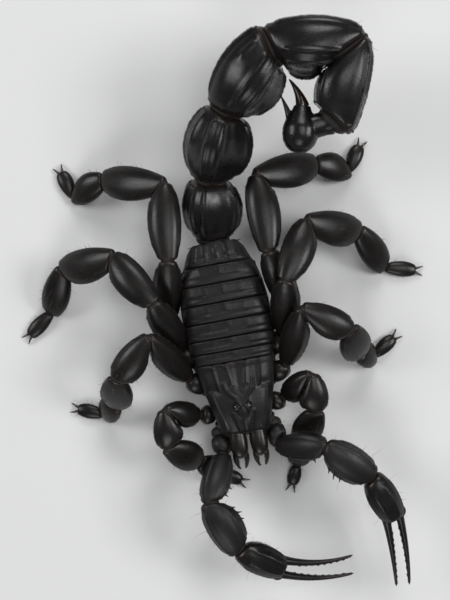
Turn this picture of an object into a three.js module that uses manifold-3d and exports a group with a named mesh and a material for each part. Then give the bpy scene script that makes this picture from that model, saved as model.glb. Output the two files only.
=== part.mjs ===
// A black thick-tailed scorpion at life size, standing still with its tail carried round to its left.
// Millimetres, +Z up. The head points towards -Y, turned a little towards +X, the animal's left side.
// The origin is on the floor under the middle of the animal's outline.
import * as THREE from "three";
import { mergeVertices } from "three/addons/utils/BufferGeometryUtils.js";
import Module from "manifold-3d";

const wasm = await Module();
wasm.setup();

// ---- Driving dimensions -------------------------------------------------------------------------

const GAP = 0.3; // between neighbouring plates and limb pieces
const TUCK = 0.8; // how far a limb piece draws in beyond its joint
const TRUNK_TURN = 10; // degrees from -Y towards +X
const CARAPACE_FRONT = { x: 4.3, y: -21.0 }; // middle of the front edge of the head shield

// Where the trunk changes, measured back from the front edge of the carapace.
const CARAPACE_LENGTH = 12.4;
const TERGITE_LENGTHS = [1.9, 2.3, 2.9, 3.2, 3.3, 3.2, 3.9];
const PLATE_FLOOR = 7.9; // underside of the back plates, above the floor
const UNDERSIDE_TOP = 7.5;
const MOUTH_FLOOR = 6.5; // top of the hip plates under the chelicerae
const COXAE_FRONT = -1.2;
const COXAE_REAR = 16.0;

// [back from the front edge, size]: half width, height of the back and height of the belly.
const HALF_WIDTH = [
  [-1.5, 3.2], [0, 4.1], [4.5, 5.3], [9, 6.3], [12.4, 6.8], [17, 7.6], [22, 7.7], [27, 7.0], [33.4, 4.2],
];
const BACK_HEIGHT = [
  [-1.5, 9.3], [0, 9.9], [4.5, 11.2], [9, 11.2], [12.4, 11.0], [21, 12.0], [27, 11.7], [33.4, 10.9],
];
const BELLY_HEIGHT = [[-1.5, 4.6], [3, 3.5], [12, 3.1], [27, 3.1], [33.4, 4.9]];

const MEDIAN_EYE = { radius: 0.7, across: 0.95, back: 4.7, height: 11.65 };
const EYE_MOUND = { wide: 3.3, long: 4.4, deep: 2.4 };

const CHELICERA = {
  across: 1.75,
  start: 0.35,
  height: 8.3,
  length: 4.1,
  wide: 3.1,
  deep: 2.9,
  finger: { length: 1.9, thick: 1.3, tip: 0.5, bow: 0.35 },
};
const COMB = { across: 1.5, back: 15.4, height: 2.5, length: 7.6, wide: 1.5, thick: 0.7, sweep: 52 };

// The tail: lengths of its five rings, then the sting bulb, the sting and the tooth under the sting.
const TAIL_BACK = 34.0;
const TAIL_HEIGHT = 7.9;
const TAIL_RINGS = [
  { length: 10.4, wide: 9.8, deep: 8.9, heading: -178, pitch: 22, lean: -20, necks: [0.62, 0.6] },
  { length: 12.4, wide: 11.0, deep: 10.2, heading: 167, pitch: 24, lean: -45, necks: [0.54, 0.54] },
  { length: 13.2, wide: 11.6, deep: 11.0, heading: 143, pitch: 17, lean: -70, necks: [0.54, 0.62] },
  { length: 12.7, wide: 10.2, deep: 9.6, heading: 88, pitch: 3, lean: -80, necks: [0.66, 0.64] },
  { length: 12.2, wide: 9.2, deep: 8.9, heading: -13, pitch: -8, lean: -85, necks: [0.7, 0.8] },
];
const TELSON_FOLD = -66; // heading in which the sting bulb leaves the last ring
const VESICLE = { length: 7.8, wide: 5.6, deep: 5.9, neck: 3.6, aside: 5.15, along: 1.7, heading: 176 };
const STING = { length: 4.9, thick: 2.7, tip: 0.5, turn: 30, bow: 0.5 };
const TOOTH = { length: 3.9, thick: 1.9, tip: 0.5, turn: 24, bow: 0.25, aside: 2.0, along: -2.2 };

// The pincer arms. Headings and pitches run trochanter, femur, patella, hand, fingers.
const ARM = {
  across: 4.7,
  back: 0.4,
  height: 5.8,
  lengths: [3.9, 9.3, 9.6, 8.8, 12],
  wide: [3.6, 4.9, 6.0, 5.4],
  deep: [3.6, 4.3, 4.9, 4.8],
};
const ARM_POSES = {
  left: { headings: [19, 88, 57, 31, 7], pitches: [26, 36, -12, -12, -8], gape: 11, bows: [-0.2, 0.4] },
  right: { headings: [9, -15, 31, 65, 93], pitches: [22, 30, -8, -11, -6], gape: 15, bows: [-0.9, 0.9] },
};
const FINGER = { thick: 1.6, tip: 0.6, apart: 1.2, sunk: 1.6 };

// The legs. Lengths run trochanter, femur, patella, tibia, basitarsus, telotarsus.
const HIP_HEIGHT = 5.6;
const ANKLE_HEIGHT = 1.0;
const TOE_HEIGHT = 0.5;
const LEG_WIDE = [3.8, 4.9, 5.7, 6.2, 5.2, 2.9];
const LEG_DEEP = [3.2, 3.5, 3.6, 3.3, 2.8, 1.8];
const LEG_PAIRS = [
  { across: 4.7, back: 3.5, bulk: 0.88, lengths: [3, 6.9, 5.8, 7.7, 5.8, 3.9], pitches: [12, 36, -10] },
  { across: 5.9, back: 8.0, bulk: 0.94, lengths: [4, 12.1, 8.7, 8.8, 5.5, 4.8], pitches: [21, 40, -14] },
  { across: 6.7, back: 12.7, bulk: 1, lengths: [4.3, 11.8, 10.4, 11.0, 9.6, 5.6], pitches: [25, 40, -14] },
  { across: 7.1, back: 17.4, bulk: 1, lengths: [4.5, 13.0, 12.6, 12.4, 7.1, 4.8], pitches: [4, 30, -6] },
];
const LEG_HEADINGS = {
  left: [
    [126, 127, 9, -20, -8, -14],
    [142, 163, 68, 28, 89, 131],
    [150, 179, 158, 84, 42, 84],
    [120, -158, -172, 106, 86, 154],
  ],
  right: [
    [-92, -96, 4, 57, 62, 64],
    [-130, -135, -39, -10, -56, -100],
    [-140, -149, -137, -79, -22, -43],
    [-120, 178, -175, -99, -69, -150],
  ],
};
const CLAW = { length: 1.3, root: 0.8, thick: 0.6, spread: 26, apart: 0.25, bow: 0.15 };

// ---- Materials ----------------------------------------------------------------------------------

const shell = new THREE.MeshStandardMaterial({ color: 0x0b0b0c, roughness: 0.32, metalness: 0 });
const membrane = new THREE.MeshStandardMaterial({ color: 0x1b1817, roughness: 0.62, metalness: 0 });
const eye = new THREE.MeshStandardMaterial({ color: 0x050506, roughness: 0.06, metalness: 0 });
const horn = new THREE.MeshStandardMaterial({ color: 0x120c09, roughness: 0.22, metalness: 0 });

const scorpion = new THREE.Group();

// ---- Solids: lofted rings, then joining and cutting -----------------------------------------------

const rad = THREE.MathUtils.degToRad;
const UP = new THREE.Vector3(0, 0, 1);
const Z_UP = new THREE.Matrix4().makeRotationX(rad(90));

// A unit vector from a heading (degrees from -Y towards +X) and a pitch above level.
function towards(heading, pitch = 0) {
  return new THREE.Vector3().setFromSphericalCoords(1, rad(90 - pitch), rad(heading)).applyMatrix4(Z_UP);
}

// A point moved some distance in a direction.
function moved(point, direction, distance) {
  return point.clone().addScaledVector(direction, distance);
}

// The size that a list of [place, size] pairs gives at one place, on a smooth line between them.
function sizeAt(outline, place) {
  const next = Math.min(Math.max(outline.findIndex(([at]) => at >= place), 1), outline.length - 1);
  const [fromPlace, fromSize] = outline[next - 1];
  const [toPlace, toSize] = outline[next];
  return THREE.MathUtils.mapLinear(place, fromPlace, toPlace, fromSize, toSize);
}

// The directions across and over a piece that points along an axis, leaning its top to one side.
function crossAxes(axis, lean = 0) {
  const level = UP.clone().addScaledVector(axis, -UP.dot(axis)).normalize();
  const across = level.clone().cross(axis);
  const top = level.multiplyScalar(Math.cos(rad(lean))).addScaledVector(across, Math.sin(rad(lean)));
  return { across: top.clone().cross(axis), top };
}

// One ring of points round a centre: an ellipse squared off a little as the exponent grows past 2.
function ovalRing(centre, axes, wide, deep, sides, exponent = 2.3) {
  return Array.from({ length: sides }, (_, i) => {
    const angle = (2 * Math.PI * i) / sides;
    const x = Math.sign(Math.cos(angle)) * Math.abs(Math.cos(angle)) ** (2 / exponent);
    const y = Math.sign(Math.sin(angle)) * Math.abs(Math.sin(angle)) ** (2 / exponent);
    return moved(centre, axes.across, (x * wide) / 2).addScaledVector(axes.top, (y * deep) / 2);
  });
}

// A closed skin through rings that turn anticlockwise seen from the far end.
function loft(rings) {
  const sides = rings[0].length;
  const middleOf = (ring) => ring.reduce((sum, p) => sum.add(p), new THREE.Vector3()).divideScalar(sides);
  const points = [...rings.flat(), middleOf(rings[0]), middleOf(rings.at(-1))];
  const nearMiddle = points.length - 2;
  const farMiddle = points.length - 1;
  const lastRing = (rings.length - 1) * sides;
  const faces = [];
  for (let j = 0; j < sides; j++) {
    const k = (j + 1) % sides;
    faces.push(nearMiddle, k, j, farMiddle, lastRing + j, lastRing + k);
    for (let i = 0; i < lastRing; i += sides) {
      faces.push(i + j, i + k, i + sides + k, i + j, i + sides + k, i + sides + j);
    }
  }
  return solid(new THREE.BufferGeometry().setFromPoints(points).setIndex(faces));
}

// A manifold solid from a closed three.js geometry.
function solid(geometry) {
  const bare = new THREE.BufferGeometry().setAttribute("position", geometry.getAttribute("position"));
  const merged = mergeVertices(bare.setIndex(geometry.index), 1e-4);
  const vertProperties = new Float32Array(merged.getAttribute("position").array);
  const triVerts = new Uint32Array(merged.index.array);
  return new wasm.Manifold(new wasm.Mesh({ numProp: 3, vertProperties, triVerts }));
}

function joined(solids) {
  return solids.reduce((whole, next) => whole.add(next));
}

function ball(centre, radius, detail = 0) {
  return solid(new THREE.IcosahedronGeometry(radius, detail).translate(centre.x, centre.y, centre.z));
}

// A large block that starts half a gap before a point and fills all that lies beyond it.
function blockBeyond(point, outward) {
  const size = 40;
  const turn = new THREE.Quaternion().setFromUnitVectors(UP, outward);
  const block = new THREE.BoxGeometry(size, size, size).translate(0, 0, size / 2 - GAP / 2);
  return solid(block.applyQuaternion(turn).translate(point.x, point.y, point.z));
}

function add(name, shape, material) {
  const { vertProperties, triVerts } = shape.getMesh();
  const geometry = new THREE.BufferGeometry();
  geometry.setAttribute("position", new THREE.BufferAttribute(new Float32Array(vertProperties), 3));
  geometry.setIndex(new THREE.BufferAttribute(new Uint32Array(triVerts), 1));
  const mesh = new THREE.Mesh(geometry, material);
  mesh.name = name;
  scorpion.add(mesh);
}

// The room that the limbs need in the hip plates they grow from.
const sockets = [];

function socketAt(joints, wide, deep) {
  const axis = joints[1].clone().sub(joints[0]).normalize();
  const axes = crossAxes(axis);
  const length = joints[0].distanceTo(joints[1]) + 4;
  const turn = new THREE.Matrix4().makeBasis(axes.across, axes.top, axis).setPosition(joints[0]);
  const box = new THREE.BoxGeometry(wide * 0.88 + 2 * GAP, deep * 0.92 + 2 * GAP, length);
  return solid(box.translate(0, 0, length / 2 - GAP).applyMatrix4(turn));
}

// ---- Limb pieces ----------------------------------------------------------------------------------

// A piece between two joints, slim at its ends and full in its middle, that runs on past both joints.
function limbPiece(from, to, shape) {
  const { wide, deep, lean, necks = [0.58, 0.58], overrun = 0.8 } = shape;
  const { sides = 8, rings = 3, fullAt = 0.55, exponent } = shape;
  const axis = to.clone().sub(from).normalize();
  const axes = crossAxes(axis, lean);
  const length = from.distanceTo(to);
  const sectionAt = (at, tuck) => {
    const neck = THREE.MathUtils.lerp(necks[0], necks[1], at) * tuck;
    const swell = Math.sin(Math.PI * THREE.MathUtils.clamp(at, 0, 1) ** (Math.log(0.5) / Math.log(fullAt)));
    const size = neck + (1 - neck) * swell ** 0.7;
    return ovalRing(moved(from, axis, at * length), axes, wide * size, deep * size, sides, exponent);
  };
  const inner = Array.from({ length: rings }, (_, i) => sectionAt((i + 0.55) / (rings + 0.1), 1));
  return loft([sectionAt(-overrun / length, TUCK), ...inner, sectionAt(1 + overrun / length, TUCK)]);
}

// Joint points from a start, with one length, heading and pitch for each piece.
function jointsFrom(start, lengths, headings, pitches) {
  const points = [start];
  lengths.forEach((length, i) => points.push(moved(points[i], towards(headings[i], pitches[i]), length)));
  return points;
}

// The direction straight through a joint, half way between the pieces before and after it.
function through(points, i) {
  const before = points[i].clone().sub(points[Math.max(i - 1, 0)]).normalize();
  const after = points[Math.min(i + 1, points.length - 1)].clone().sub(points[i]).normalize();
  return before.add(after).normalize();
}

function cutAtEnd(piece, points, i) {
  return piece.subtract(blockBeyond(points[i], through(points, i)));
}

function cutAtStart(piece, points, i) {
  return piece.subtract(blockBeyond(points[i], through(points, i).negate()));
}

// ---- Trunk ----------------------------------------------------------------------------------------

const trunkBack = towards(TRUNK_TURN).negate();
const trunkLeft = UP.clone().cross(trunkBack.clone().negate());
const trunkAxes = { across: trunkLeft.clone().negate(), top: UP };

// A point of the trunk: across to the left, back from the front edge of the carapace, above the floor.
function trunkPoint(across, back, height) {
  const front = new THREE.Vector3(CARAPACE_FRONT.x, CARAPACE_FRONT.y, height);
  return moved(front, trunkBack, back).addScaledVector(trunkLeft, across);
}

// A D-shaped ring on the upper side of the trunk, from its flat floor over the back.
function plateRing(back, swell, floor) {
  const steps = 10;
  const halfWidth = sizeAt(HALF_WIDTH, back) * swell;
  const rise = sizeAt(BACK_HEIGHT, back) * swell - floor;
  return Array.from({ length: steps + 1 }, (_, i) => {
    const angle = (Math.PI * i) / steps;
    const across = Math.sign(Math.cos(angle)) * Math.abs(Math.cos(angle)) ** 0.75 * halfWidth;
    return trunkPoint(-across, back, floor + 0.35 + Math.sin(angle) ** 0.8 * (rise - 0.35));
  }).concat([trunkPoint(halfWidth * 0.9, back, floor), trunkPoint(-halfWidth * 0.9, back, floor)]);
}

// The same below: a flat top and a shallow belly.
function bellyRing(back, swell = 1, top = UNDERSIDE_TOP) {
  const steps = 10;
  const halfWidth = sizeAt(HALF_WIDTH, back) * swell * 0.94;
  const belly = sizeAt(BELLY_HEIGHT, back);
  return Array.from({ length: steps + 1 }, (_, i) => {
    const angle = (Math.PI * i) / steps;
    const across = Math.sign(Math.cos(angle)) * Math.abs(Math.cos(angle)) ** 0.7 * halfWidth;
    return trunkPoint(across, back, top - Math.sin(angle) ** 0.6 * (top - belly));
  });
}

function buildCarapace() {
  const stations = [0, 0.6, 4.5, 9, CARAPACE_LENGTH - GAP];
  const swells = [0.93, 1, 1, 1, 1];
  const dome = loft(stations.map((back, i) => plateRing(back, swells[i], UNDERSIDE_TOP + GAP)));
  const moundRings = [-0.48, -0.3, 0, 0.3, 0.48].map((at) => {
    const size = Math.sqrt(1 - (2 * at) ** 2) + 0.1;
    const centre = trunkPoint(0, MEDIAN_EYE.back + at * EYE_MOUND.long, MEDIAN_EYE.height - 1.0);
    return ovalRing(centre, trunkAxes, EYE_MOUND.wide * size, EYE_MOUND.deep * size, 8);
  });
  let shield = dome.add(loft(moundRings));
  for (const [name, side] of [["left", 1], ["right", -1]]) {
    const centre = trunkPoint(side * MEDIAN_EYE.across, MEDIAN_EYE.back, MEDIAN_EYE.height);
    shield = shield.subtract(ball(centre, MEDIAN_EYE.radius + GAP / 2, 1));
    add(`eye_${name}`, ball(centre, MEDIAN_EYE.radius, 1), eye);
  }
  add("carapace", shield, shell);
}

function buildTergites() {
  let front = CARAPACE_LENGTH;
  TERGITE_LENGTHS.forEach((length, i) => {
    const rear = front + length - GAP;
    const rings = [
      plateRing(front, 0.95, PLATE_FLOOR),
      plateRing(front + length * 0.35, 0.985, PLATE_FLOOR),
      plateRing(rear, 1, PLATE_FLOOR),
    ];
    add(`tergite_${i + 1}`, loft(rings), shell);
    front += length;
  });
  return front;
}

// A solid with a clear socket for each limb that grows from it.
function socketed(plates) {
  return sockets.reduce((rest, socket) => rest.subtract(socket), plates);
}

// The hip plates of the legs and arms.
function buildUnderside() {
  const mouth = loft([COXAE_FRONT, 0.6].map((back) => bellyRing(back, back < 0 ? 0.8 : 1, MOUTH_FLOOR)));
  const coxae = loft([0.5, 4, 8, 12, COXAE_REAR - GAP].map((back) => bellyRing(back)));
  add("prosoma_underside", socketed(mouth.add(coxae)), shell);
}

function buildBelly(trunkEnd) {
  const stations = [COXAE_REAR, 20, 24, 28, 31, trunkEnd - GAP];
  add("belly", socketed(loft(stations.map((back) => bellyRing(back)))), membrane);
}

function buildCombs() {
  for (const [name, side] of [["left", 1], ["right", -1]]) {
    const root = trunkPoint(side * COMB.across, COMB.back, COMB.height);
    const along = towards(TRUNK_TURN + side * (180 - COMB.sweep));
    const axes = crossAxes(along);
    const rings = [0, 0.15, 0.6, 0.9, 1].map((at, i) => {
      const size = [0.6, 1, 1, 0.8, 0.4][i];
      return ovalRing(moved(root, along, at * COMB.length), axes, COMB.wide * size, COMB.thick, 6);
    });
    add(`comb_${name}`, loft(rings), shell);
  }
}

function buildChelicerae() {
  const { finger } = CHELICERA;
  const forward = trunkBack.clone().negate();
  const axes = crossAxes(forward);
  for (const [name, side] of [["left", 1], ["right", -1]]) {
    const root = trunkPoint(side * CHELICERA.across, -CHELICERA.start, CHELICERA.height);
    const bodyRings = [0, 0.25, 0.6, 0.9, 1].map((at, i) => {
      const size = [0.8, 0.97, 1, 0.85, 0.6][i];
      const centre = moved(root, forward, at * CHELICERA.length);
      return ovalRing(centre, axes, CHELICERA.wide * size, CHELICERA.deep * size, 10);
    });
    const fingers = [-1, 1].map((edge) => {
      const knuckle = moved(root, forward, CHELICERA.length * 0.8);
      const start = moved(knuckle, axes.across, edge * CHELICERA.wide * 0.2);
      const end = moved(start, forward, finger.length).addScaledVector(UP, -finger.length * 0.3);
      const inward = axes.across.clone().multiplyScalar(-edge);
      return taperedHook(start, end, inward, finger.bow, finger.thick, finger.tip, 5, 3);
    });
    add(`chelicera_${name}`, joined([loft(bodyRings), ...fingers]), shell);
  }
}

// A claw, finger or sting: it thins from its root to its tip and bows to one side on the way.
function taperedHook(from, to, bowAlong, bow, thick, tip, sides = 6, steps = 4) {
  const axis = to.clone().sub(from);
  const axes = crossAxes(axis.clone().normalize());
  const rings = Array.from({ length: steps + 1 }, (_, i) => {
    const at = i / steps;
    const size = THREE.MathUtils.lerp(thick, tip, at ** 0.85);
    const centre = moved(from, axis, at).addScaledVector(bowAlong, bow * 4 * at * (1 - at));
    return ovalRing(centre, axes, size, size, sides, 2);
  });
  return loft(rings);
}

// ---- Tail -------------------------------------------------------------------------------------------

function buildTail() {
  const pick = (key) => TAIL_RINGS.map((ring) => ring[key]);
  const start = trunkPoint(0, TAIL_BACK, TAIL_HEIGHT);
  const headings = [...pick("heading"), TELSON_FOLD];
  const joints = jointsFrom(start, [...pick("length"), 5], headings, [...pick("pitch"), 0]);
  const telson = placeTelson(joints[5]);
  TAIL_RINGS.forEach(({ wide, deep, lean, necks }, i) => {
    const shape = { wide, deep, lean, necks, overrun: 2, sides: 12, fullAt: 0.52, exponent: 2.5, rings: 4 };
    const ring = cutAtEnd(cutAtStart(limbPiece(joints[i], joints[i + 1], shape), joints, i), joints, i + 1);
    add(`tail_segment_${i + 1}`, i === 4 ? ring.subtract(bulbAt(telson, GAP)) : ring, shell);
  });
  buildTelson(telson, joints);
}

// The sting bulb lies folded back inside the curl of the tail.
function placeTelson(root) {
  const along = towards(VESICLE.heading);
  const axes = crossAxes(along);
  const middle = moved(root, axes.across, VESICLE.aside).addScaledVector(along, -VESICLE.along);
  return { along, axes, middle, outward: axes.across.clone().negate() };
}

function bulbAt({ along, axes, middle }, extra = 0) {
  const rings = [-0.5, -0.42, -0.2, 0.1, 0.36, 0.5].map((at, i) => {
    const size = [0.35, 0.68, 0.97, 0.97, 0.72, 0.46][i];
    const centre = moved(middle, along, at * (VESICLE.length + 2 * extra));
    return ovalRing(centre, axes, VESICLE.deep * size + 2 * extra, VESICLE.wide * size + 2 * extra, 10, 2);
  });
  return loft(rings);
}

// The sting stands on the end of the bulb, with a tooth on the bulb beside it.
function buildTelson(telson, joints) {
  const { along, axes, middle, outward } = telson;
  const tip = moved(middle, along, VESICLE.length / 2);
  const stingTip = moved(tip, towards(VESICLE.heading + STING.turn), STING.length);
  const sting = taperedHook(tip, stingTip, outward, STING.bow, STING.thick, STING.tip, 8, 5);
  const toothRoot = moved(tip, along, TOOTH.along).addScaledVector(axes.across, TOOTH.aside);
  const toothTip = moved(toothRoot, towards(VESICLE.heading + TOOTH.turn), TOOTH.length);
  const tooth = taperedHook(toothRoot, toothTip, outward, TOOTH.bow, TOOTH.thick, TOOTH.tip);
  const neckShape = { wide: VESICLE.neck, deep: VESICLE.neck, necks: [1, 1], overrun: 1 };
  const neck = limbPiece(joints[5], middle, neckShape);
  const bulb = cutAtStart(bulbAt(telson).add(neck), joints, 5).subtract(blockBeyond(tip, along));
  add("vesicle", joined([bulb, tooth]), shell);
  add("sting", sting.subtract(blockBeyond(tip, along.clone().negate())), horn);
}

// ---- Pincer arms ------------------------------------------------------------------------------------

function buildArm(name, side) {
  const { headings, pitches } = ARM_POSES[name];
  const start = trunkPoint(side * ARM.across, ARM.back, ARM.height);
  const joints = jointsFrom(start, ARM.lengths, headings, pitches);
  const pieces = ARM.wide.map((wide, i) => {
    const shape = { wide, deep: ARM.deep[i], necks: [0.6, 0.6], overrun: 1.2, rings: 4 };
    return limbPiece(joints[i], joints[i + 1], shape);
  });
  add(`arm_trochanter_${name}`, cutAtEnd(cutAtStart(pieces[0], joints, 0), joints, 1), shell);
  add(`arm_femur_${name}`, cutAtEnd(cutAtStart(pieces[1], joints, 1), joints, 2), shell);
  add(`arm_patella_${name}`, cutAtEnd(cutAtStart(pieces[2], joints, 2), joints, 3), shell);
  buildPincer(name, side, joints, cutAtStart(pieces[3], joints, 3));
  sockets.push(socketAt(joints, ARM.wide[0], ARM.deep[0]));
}

// The hand carries the fixed finger on its inner side; the movable finger is hinged on the outer side.
function buildPincer(name, side, joints, palm) {
  const { headings, pitches, gape, bows } = ARM_POSES[name];
  const axis = towards(headings[3], pitches[3]);
  const outward = crossAxes(axis).across.multiplyScalar(side);
  const wrist = joints[4];
  const fingerShape = (edge, extra = 0) => {
    const root = moved(wrist, outward, edge * FINGER.apart).addScaledVector(axis, -FINGER.sunk);
    const heading = headings[4] + edge * side * (gape / 2);
    const tip = moved(wrist, towards(heading, pitches[4]), ARM.lengths[4]);
    const bowAlong = crossAxes(tip.clone().sub(root).normalize()).across.multiplyScalar(side * edge);
    const bow = bows[(edge + 1) / 2];
    return taperedHook(root, tip, bowAlong, bow, FINGER.thick + extra, FINGER.tip + extra, 6, 5);
  };
  const hand = palm.subtract(blockBeyond(wrist, axis)).add(fingerShape(-1));
  const hinge = moved(wrist, axis, -FINGER.sunk * 0.6);
  add(`hand_${name}`, hand.subtract(fingerShape(1, 2 * GAP)), shell);
  add(`finger_${name}`, fingerShape(1).subtract(blockBeyond(hinge, axis.clone().negate())), shell);
}

// ---- Legs -------------------------------------------------------------------------------------------

// The pitch that takes a length down through a drop.
function pitchDown(drop, length) {
  return -THREE.MathUtils.radToDeg(Math.asin(drop / length));
}

function buildLeg(pairIndex, name, side) {
  const pair = LEG_PAIRS[pairIndex];
  const headings = LEG_HEADINGS[name][pairIndex];
  const hip = trunkPoint(side * pair.across, pair.back, HIP_HEIGHT);
  const rises = pair.pitches.map((pitch, i) => pair.lengths[i] * Math.sin(rad(pitch)));
  const kneeHeight = rises.reduce((height, rise) => height + rise, HIP_HEIGHT);
  const shinPitch = pitchDown(kneeHeight - ANKLE_HEIGHT, pair.lengths[3] + pair.lengths[4]);
  const footPitch = pitchDown(ANKLE_HEIGHT - TOE_HEIGHT, pair.lengths[5]);
  const joints = jointsFrom(hip, pair.lengths, headings, [...pair.pitches, shinPitch, shinPitch, footPitch]);
  const pieces = pair.lengths.map((_, i) => {
    const size = { wide: LEG_WIDE[i] * pair.bulk, deep: LEG_DEEP[i] * pair.bulk, overrun: i === 5 ? 0 : 0.8 };
    return limbPiece(joints[i], joints[i + 1], { ...size, sides: i < 4 ? 7 : 6, rings: i < 4 ? 3 : 2 });
  });
  const thigh = joined([
    cutAtStart(pieces[0], joints, 0),
    cutAtEnd(pieces[1], joints, 2),
    ball(joints[1], LEG_DEEP[0] * pair.bulk * 0.31),
  ]);
  const knee = cutAtEnd(cutAtStart(pieces[2], joints, 2), joints, 3);
  const foot = [pieces[4], pieces[5], ...claws(joints)];
  const floor = blockBeyond(new THREE.Vector3(joints[6].x, joints[6].y, -GAP / 2), UP.clone().negate());
  const shank = joined([cutAtStart(pieces[3], joints, 3), ...foot]).subtract(floor);
  add(`leg_${pairIndex + 1}_thigh_${name}`, thigh, shell);
  add(`leg_${pairIndex + 1}_knee_${name}`, knee, shell);
  add(`leg_${pairIndex + 1}_foot_${name}`, shank, shell);
  sockets.push(socketAt(joints, LEG_WIDE[0] * pair.bulk, LEG_DEEP[0] * pair.bulk));
}

// Two claws that spread from the toe and turn down to the floor.
function claws(joints) {
  const toe = joints[6];
  const step = toe.clone().sub(joints[5]).setZ(0).normalize();
  const across = UP.clone().cross(step);
  return [-1, 1].map((edge) => {
    const root = moved(toe, step, -0.5).addScaledVector(across, edge * CLAW.apart);
    const reach = moved(toe, step, CLAW.length * Math.cos(rad(CLAW.spread)));
    const tip = moved(reach, across, edge * (CLAW.apart + CLAW.length * Math.sin(rad(CLAW.spread))));
    return taperedHook(root, tip.setZ(CLAW.thick / 2 + 0.05), UP, CLAW.bow, CLAW.root, CLAW.thick, 4, 2);
  });
}

// ---- The whole animal ---------------------------------------------------------------------------------

buildCarapace();
const trunkEnd = buildTergites();
buildCombs();
buildChelicerae();
buildTail();
for (const [name, side] of [["left", 1], ["right", -1]]) {
  buildArm(name, side);
  LEG_PAIRS.forEach((_, i) => buildLeg(i, name, side));
}
buildUnderside();
buildBelly(trunkEnd);

export default scorpion;
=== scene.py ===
import math

import bpy
import numpy as np
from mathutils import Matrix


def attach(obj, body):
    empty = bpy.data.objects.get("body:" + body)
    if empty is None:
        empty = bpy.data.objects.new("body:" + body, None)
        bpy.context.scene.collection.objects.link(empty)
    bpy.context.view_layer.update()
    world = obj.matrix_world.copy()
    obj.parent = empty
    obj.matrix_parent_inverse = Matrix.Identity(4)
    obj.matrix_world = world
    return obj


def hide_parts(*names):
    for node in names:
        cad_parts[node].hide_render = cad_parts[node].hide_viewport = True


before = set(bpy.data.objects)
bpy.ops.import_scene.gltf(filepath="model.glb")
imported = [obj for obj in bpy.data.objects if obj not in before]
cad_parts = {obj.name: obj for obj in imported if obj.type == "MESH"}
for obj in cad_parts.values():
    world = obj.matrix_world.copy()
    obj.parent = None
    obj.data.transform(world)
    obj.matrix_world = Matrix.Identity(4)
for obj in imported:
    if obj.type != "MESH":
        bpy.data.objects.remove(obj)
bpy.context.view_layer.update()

# ---- Board, lamps and camera ------------------------------------------------------------------------------
# The animal stands on a plain pale board under soft studio panels in a dim room. The camera hangs straight
# above the middle of the animal, with the head towards the bottom of its view.

MM = 0.001  # sizes are in millimetres unless they say otherwise, and this makes them metres
BOARD_HALF = 2.0  # metres
PANELS = {  # place in metres, size in metres, power in watts
    "panel_left": ((0.42, 0.05, 0.40), 0.20, 1.5),
    "panel_right": ((-0.46, 0.12, 0.36), 0.24, 1.3),
    "panel_tail": ((0.06, 0.50, 0.38), 0.22, 1.2),
    "panel_head": ((-0.05, -0.48, 0.42), 0.26, 1.0),
    "panel_top": ((0.16, 0.10, 0.75), 0.30, 1.2),
}
ROOM_LIGHT = {"Color": (0.95, 0.97, 1.0, 1), "Strength": 0.2}
CAMERA_PLACE = (0.5, 1.7, 250)
SENSOR_HEIGHT = 36.0
VIEW_ANGLE = math.radians(24.15)  # of the whole height of the picture


def feed(tree, node, inputs):
    """Sets a node's inputs, each to a value or to the output of another node."""
    for key, value in inputs.items():
        if isinstance(value, bpy.types.NodeSocket):
            tree.links.new(value, node.inputs[key])
        else:
            node.inputs[key].default_value = value


def wired(tree, kind, inputs=None, **settings):
    """A new node with its settings and inputs."""
    node = tree.nodes.new(kind)
    for key, value in settings.items():
        setattr(node, key, value)
    feed(tree, node, inputs or {})
    return node


def blank_material(name):
    """A new material with its node tree, its main shader and the place on the object that patterns read."""
    made = bpy.data.materials.new(name)
    made.use_nodes = True
    tree = made.node_tree
    place = wired(tree, "ShaderNodeTexCoord").outputs["Object"]
    return made, tree, tree.nodes["Principled BSDF"], place


def mottle(tree, place, scale, detail=2.0, **more):
    """Soft blotches from 0 to 1, scale of them to a metre."""
    inputs = {"Vector": place, "Scale": scale, "Detail": detail, **more}
    return wired(tree, "ShaderNodeTexNoise", inputs).outputs["Fac"]


def blend(tree, share, first, second):
    """A colour between two. The first may be the output of another node."""
    first = (*first, 1) if isinstance(first, tuple) else first
    inputs = {0: share, "A": first, "B": (*second, 1)}
    return wired(tree, "ShaderNodeMix", inputs, data_type="RGBA").outputs["Result"]


def placed(name, data):
    """A new object in the scene."""
    made = bpy.data.objects.new(name, data)
    bpy.context.scene.collection.objects.link(made)
    return made


board_look, tree, shader, place = blank_material("pale_board")
paper = blend(tree, mottle(tree, place, 90.0, 6.0), (0.615, 0.615, 0.615), (0.635, 0.635, 0.635))
feed(tree, shader, {"Base Color": paper, "Roughness": 0.9, "Specular IOR Level": 0.15})

board_mesh = bpy.data.meshes.new("board")
board_corners = [(x * BOARD_HALF, y * BOARD_HALF, 0) for x, y in ((-1, -1), (1, -1), (1, 1), (-1, 1))]
board_mesh.from_pydata(board_corners, [], [(0, 1, 2, 3)])
board_mesh.materials.append(board_look)
board = placed("board", board_mesh)

for name, (spot, size, power) in PANELS.items():
    lamp = bpy.data.lights.new(name, "AREA")
    lamp.size = size
    lamp.energy = power
    panel = placed(name, lamp)
    panel.location = spot
    panel.rotation_euler = (-panel.location).to_track_quat("-Z", "Y").to_euler()

room = bpy.data.worlds.new("room")
room.use_nodes = True
feed(room.node_tree, room.node_tree.nodes["Background"], ROOM_LIGHT)
bpy.context.scene.world = room
bpy.context.scene.view_settings.view_transform = "Standard"

camera_body = bpy.data.cameras.new("camera")
camera_body.sensor_fit = "VERTICAL"
camera_body.sensor_height = SENSOR_HEIGHT
camera_body.lens = SENSOR_HEIGHT / 2 / math.tan(VIEW_ANGLE / 2)
camera_body.clip_start = 0.01
camera = placed("camera", camera_body)
camera.location = [size * MM for size in CAMERA_PLACE]
bpy.context.scene.camera = camera

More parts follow.
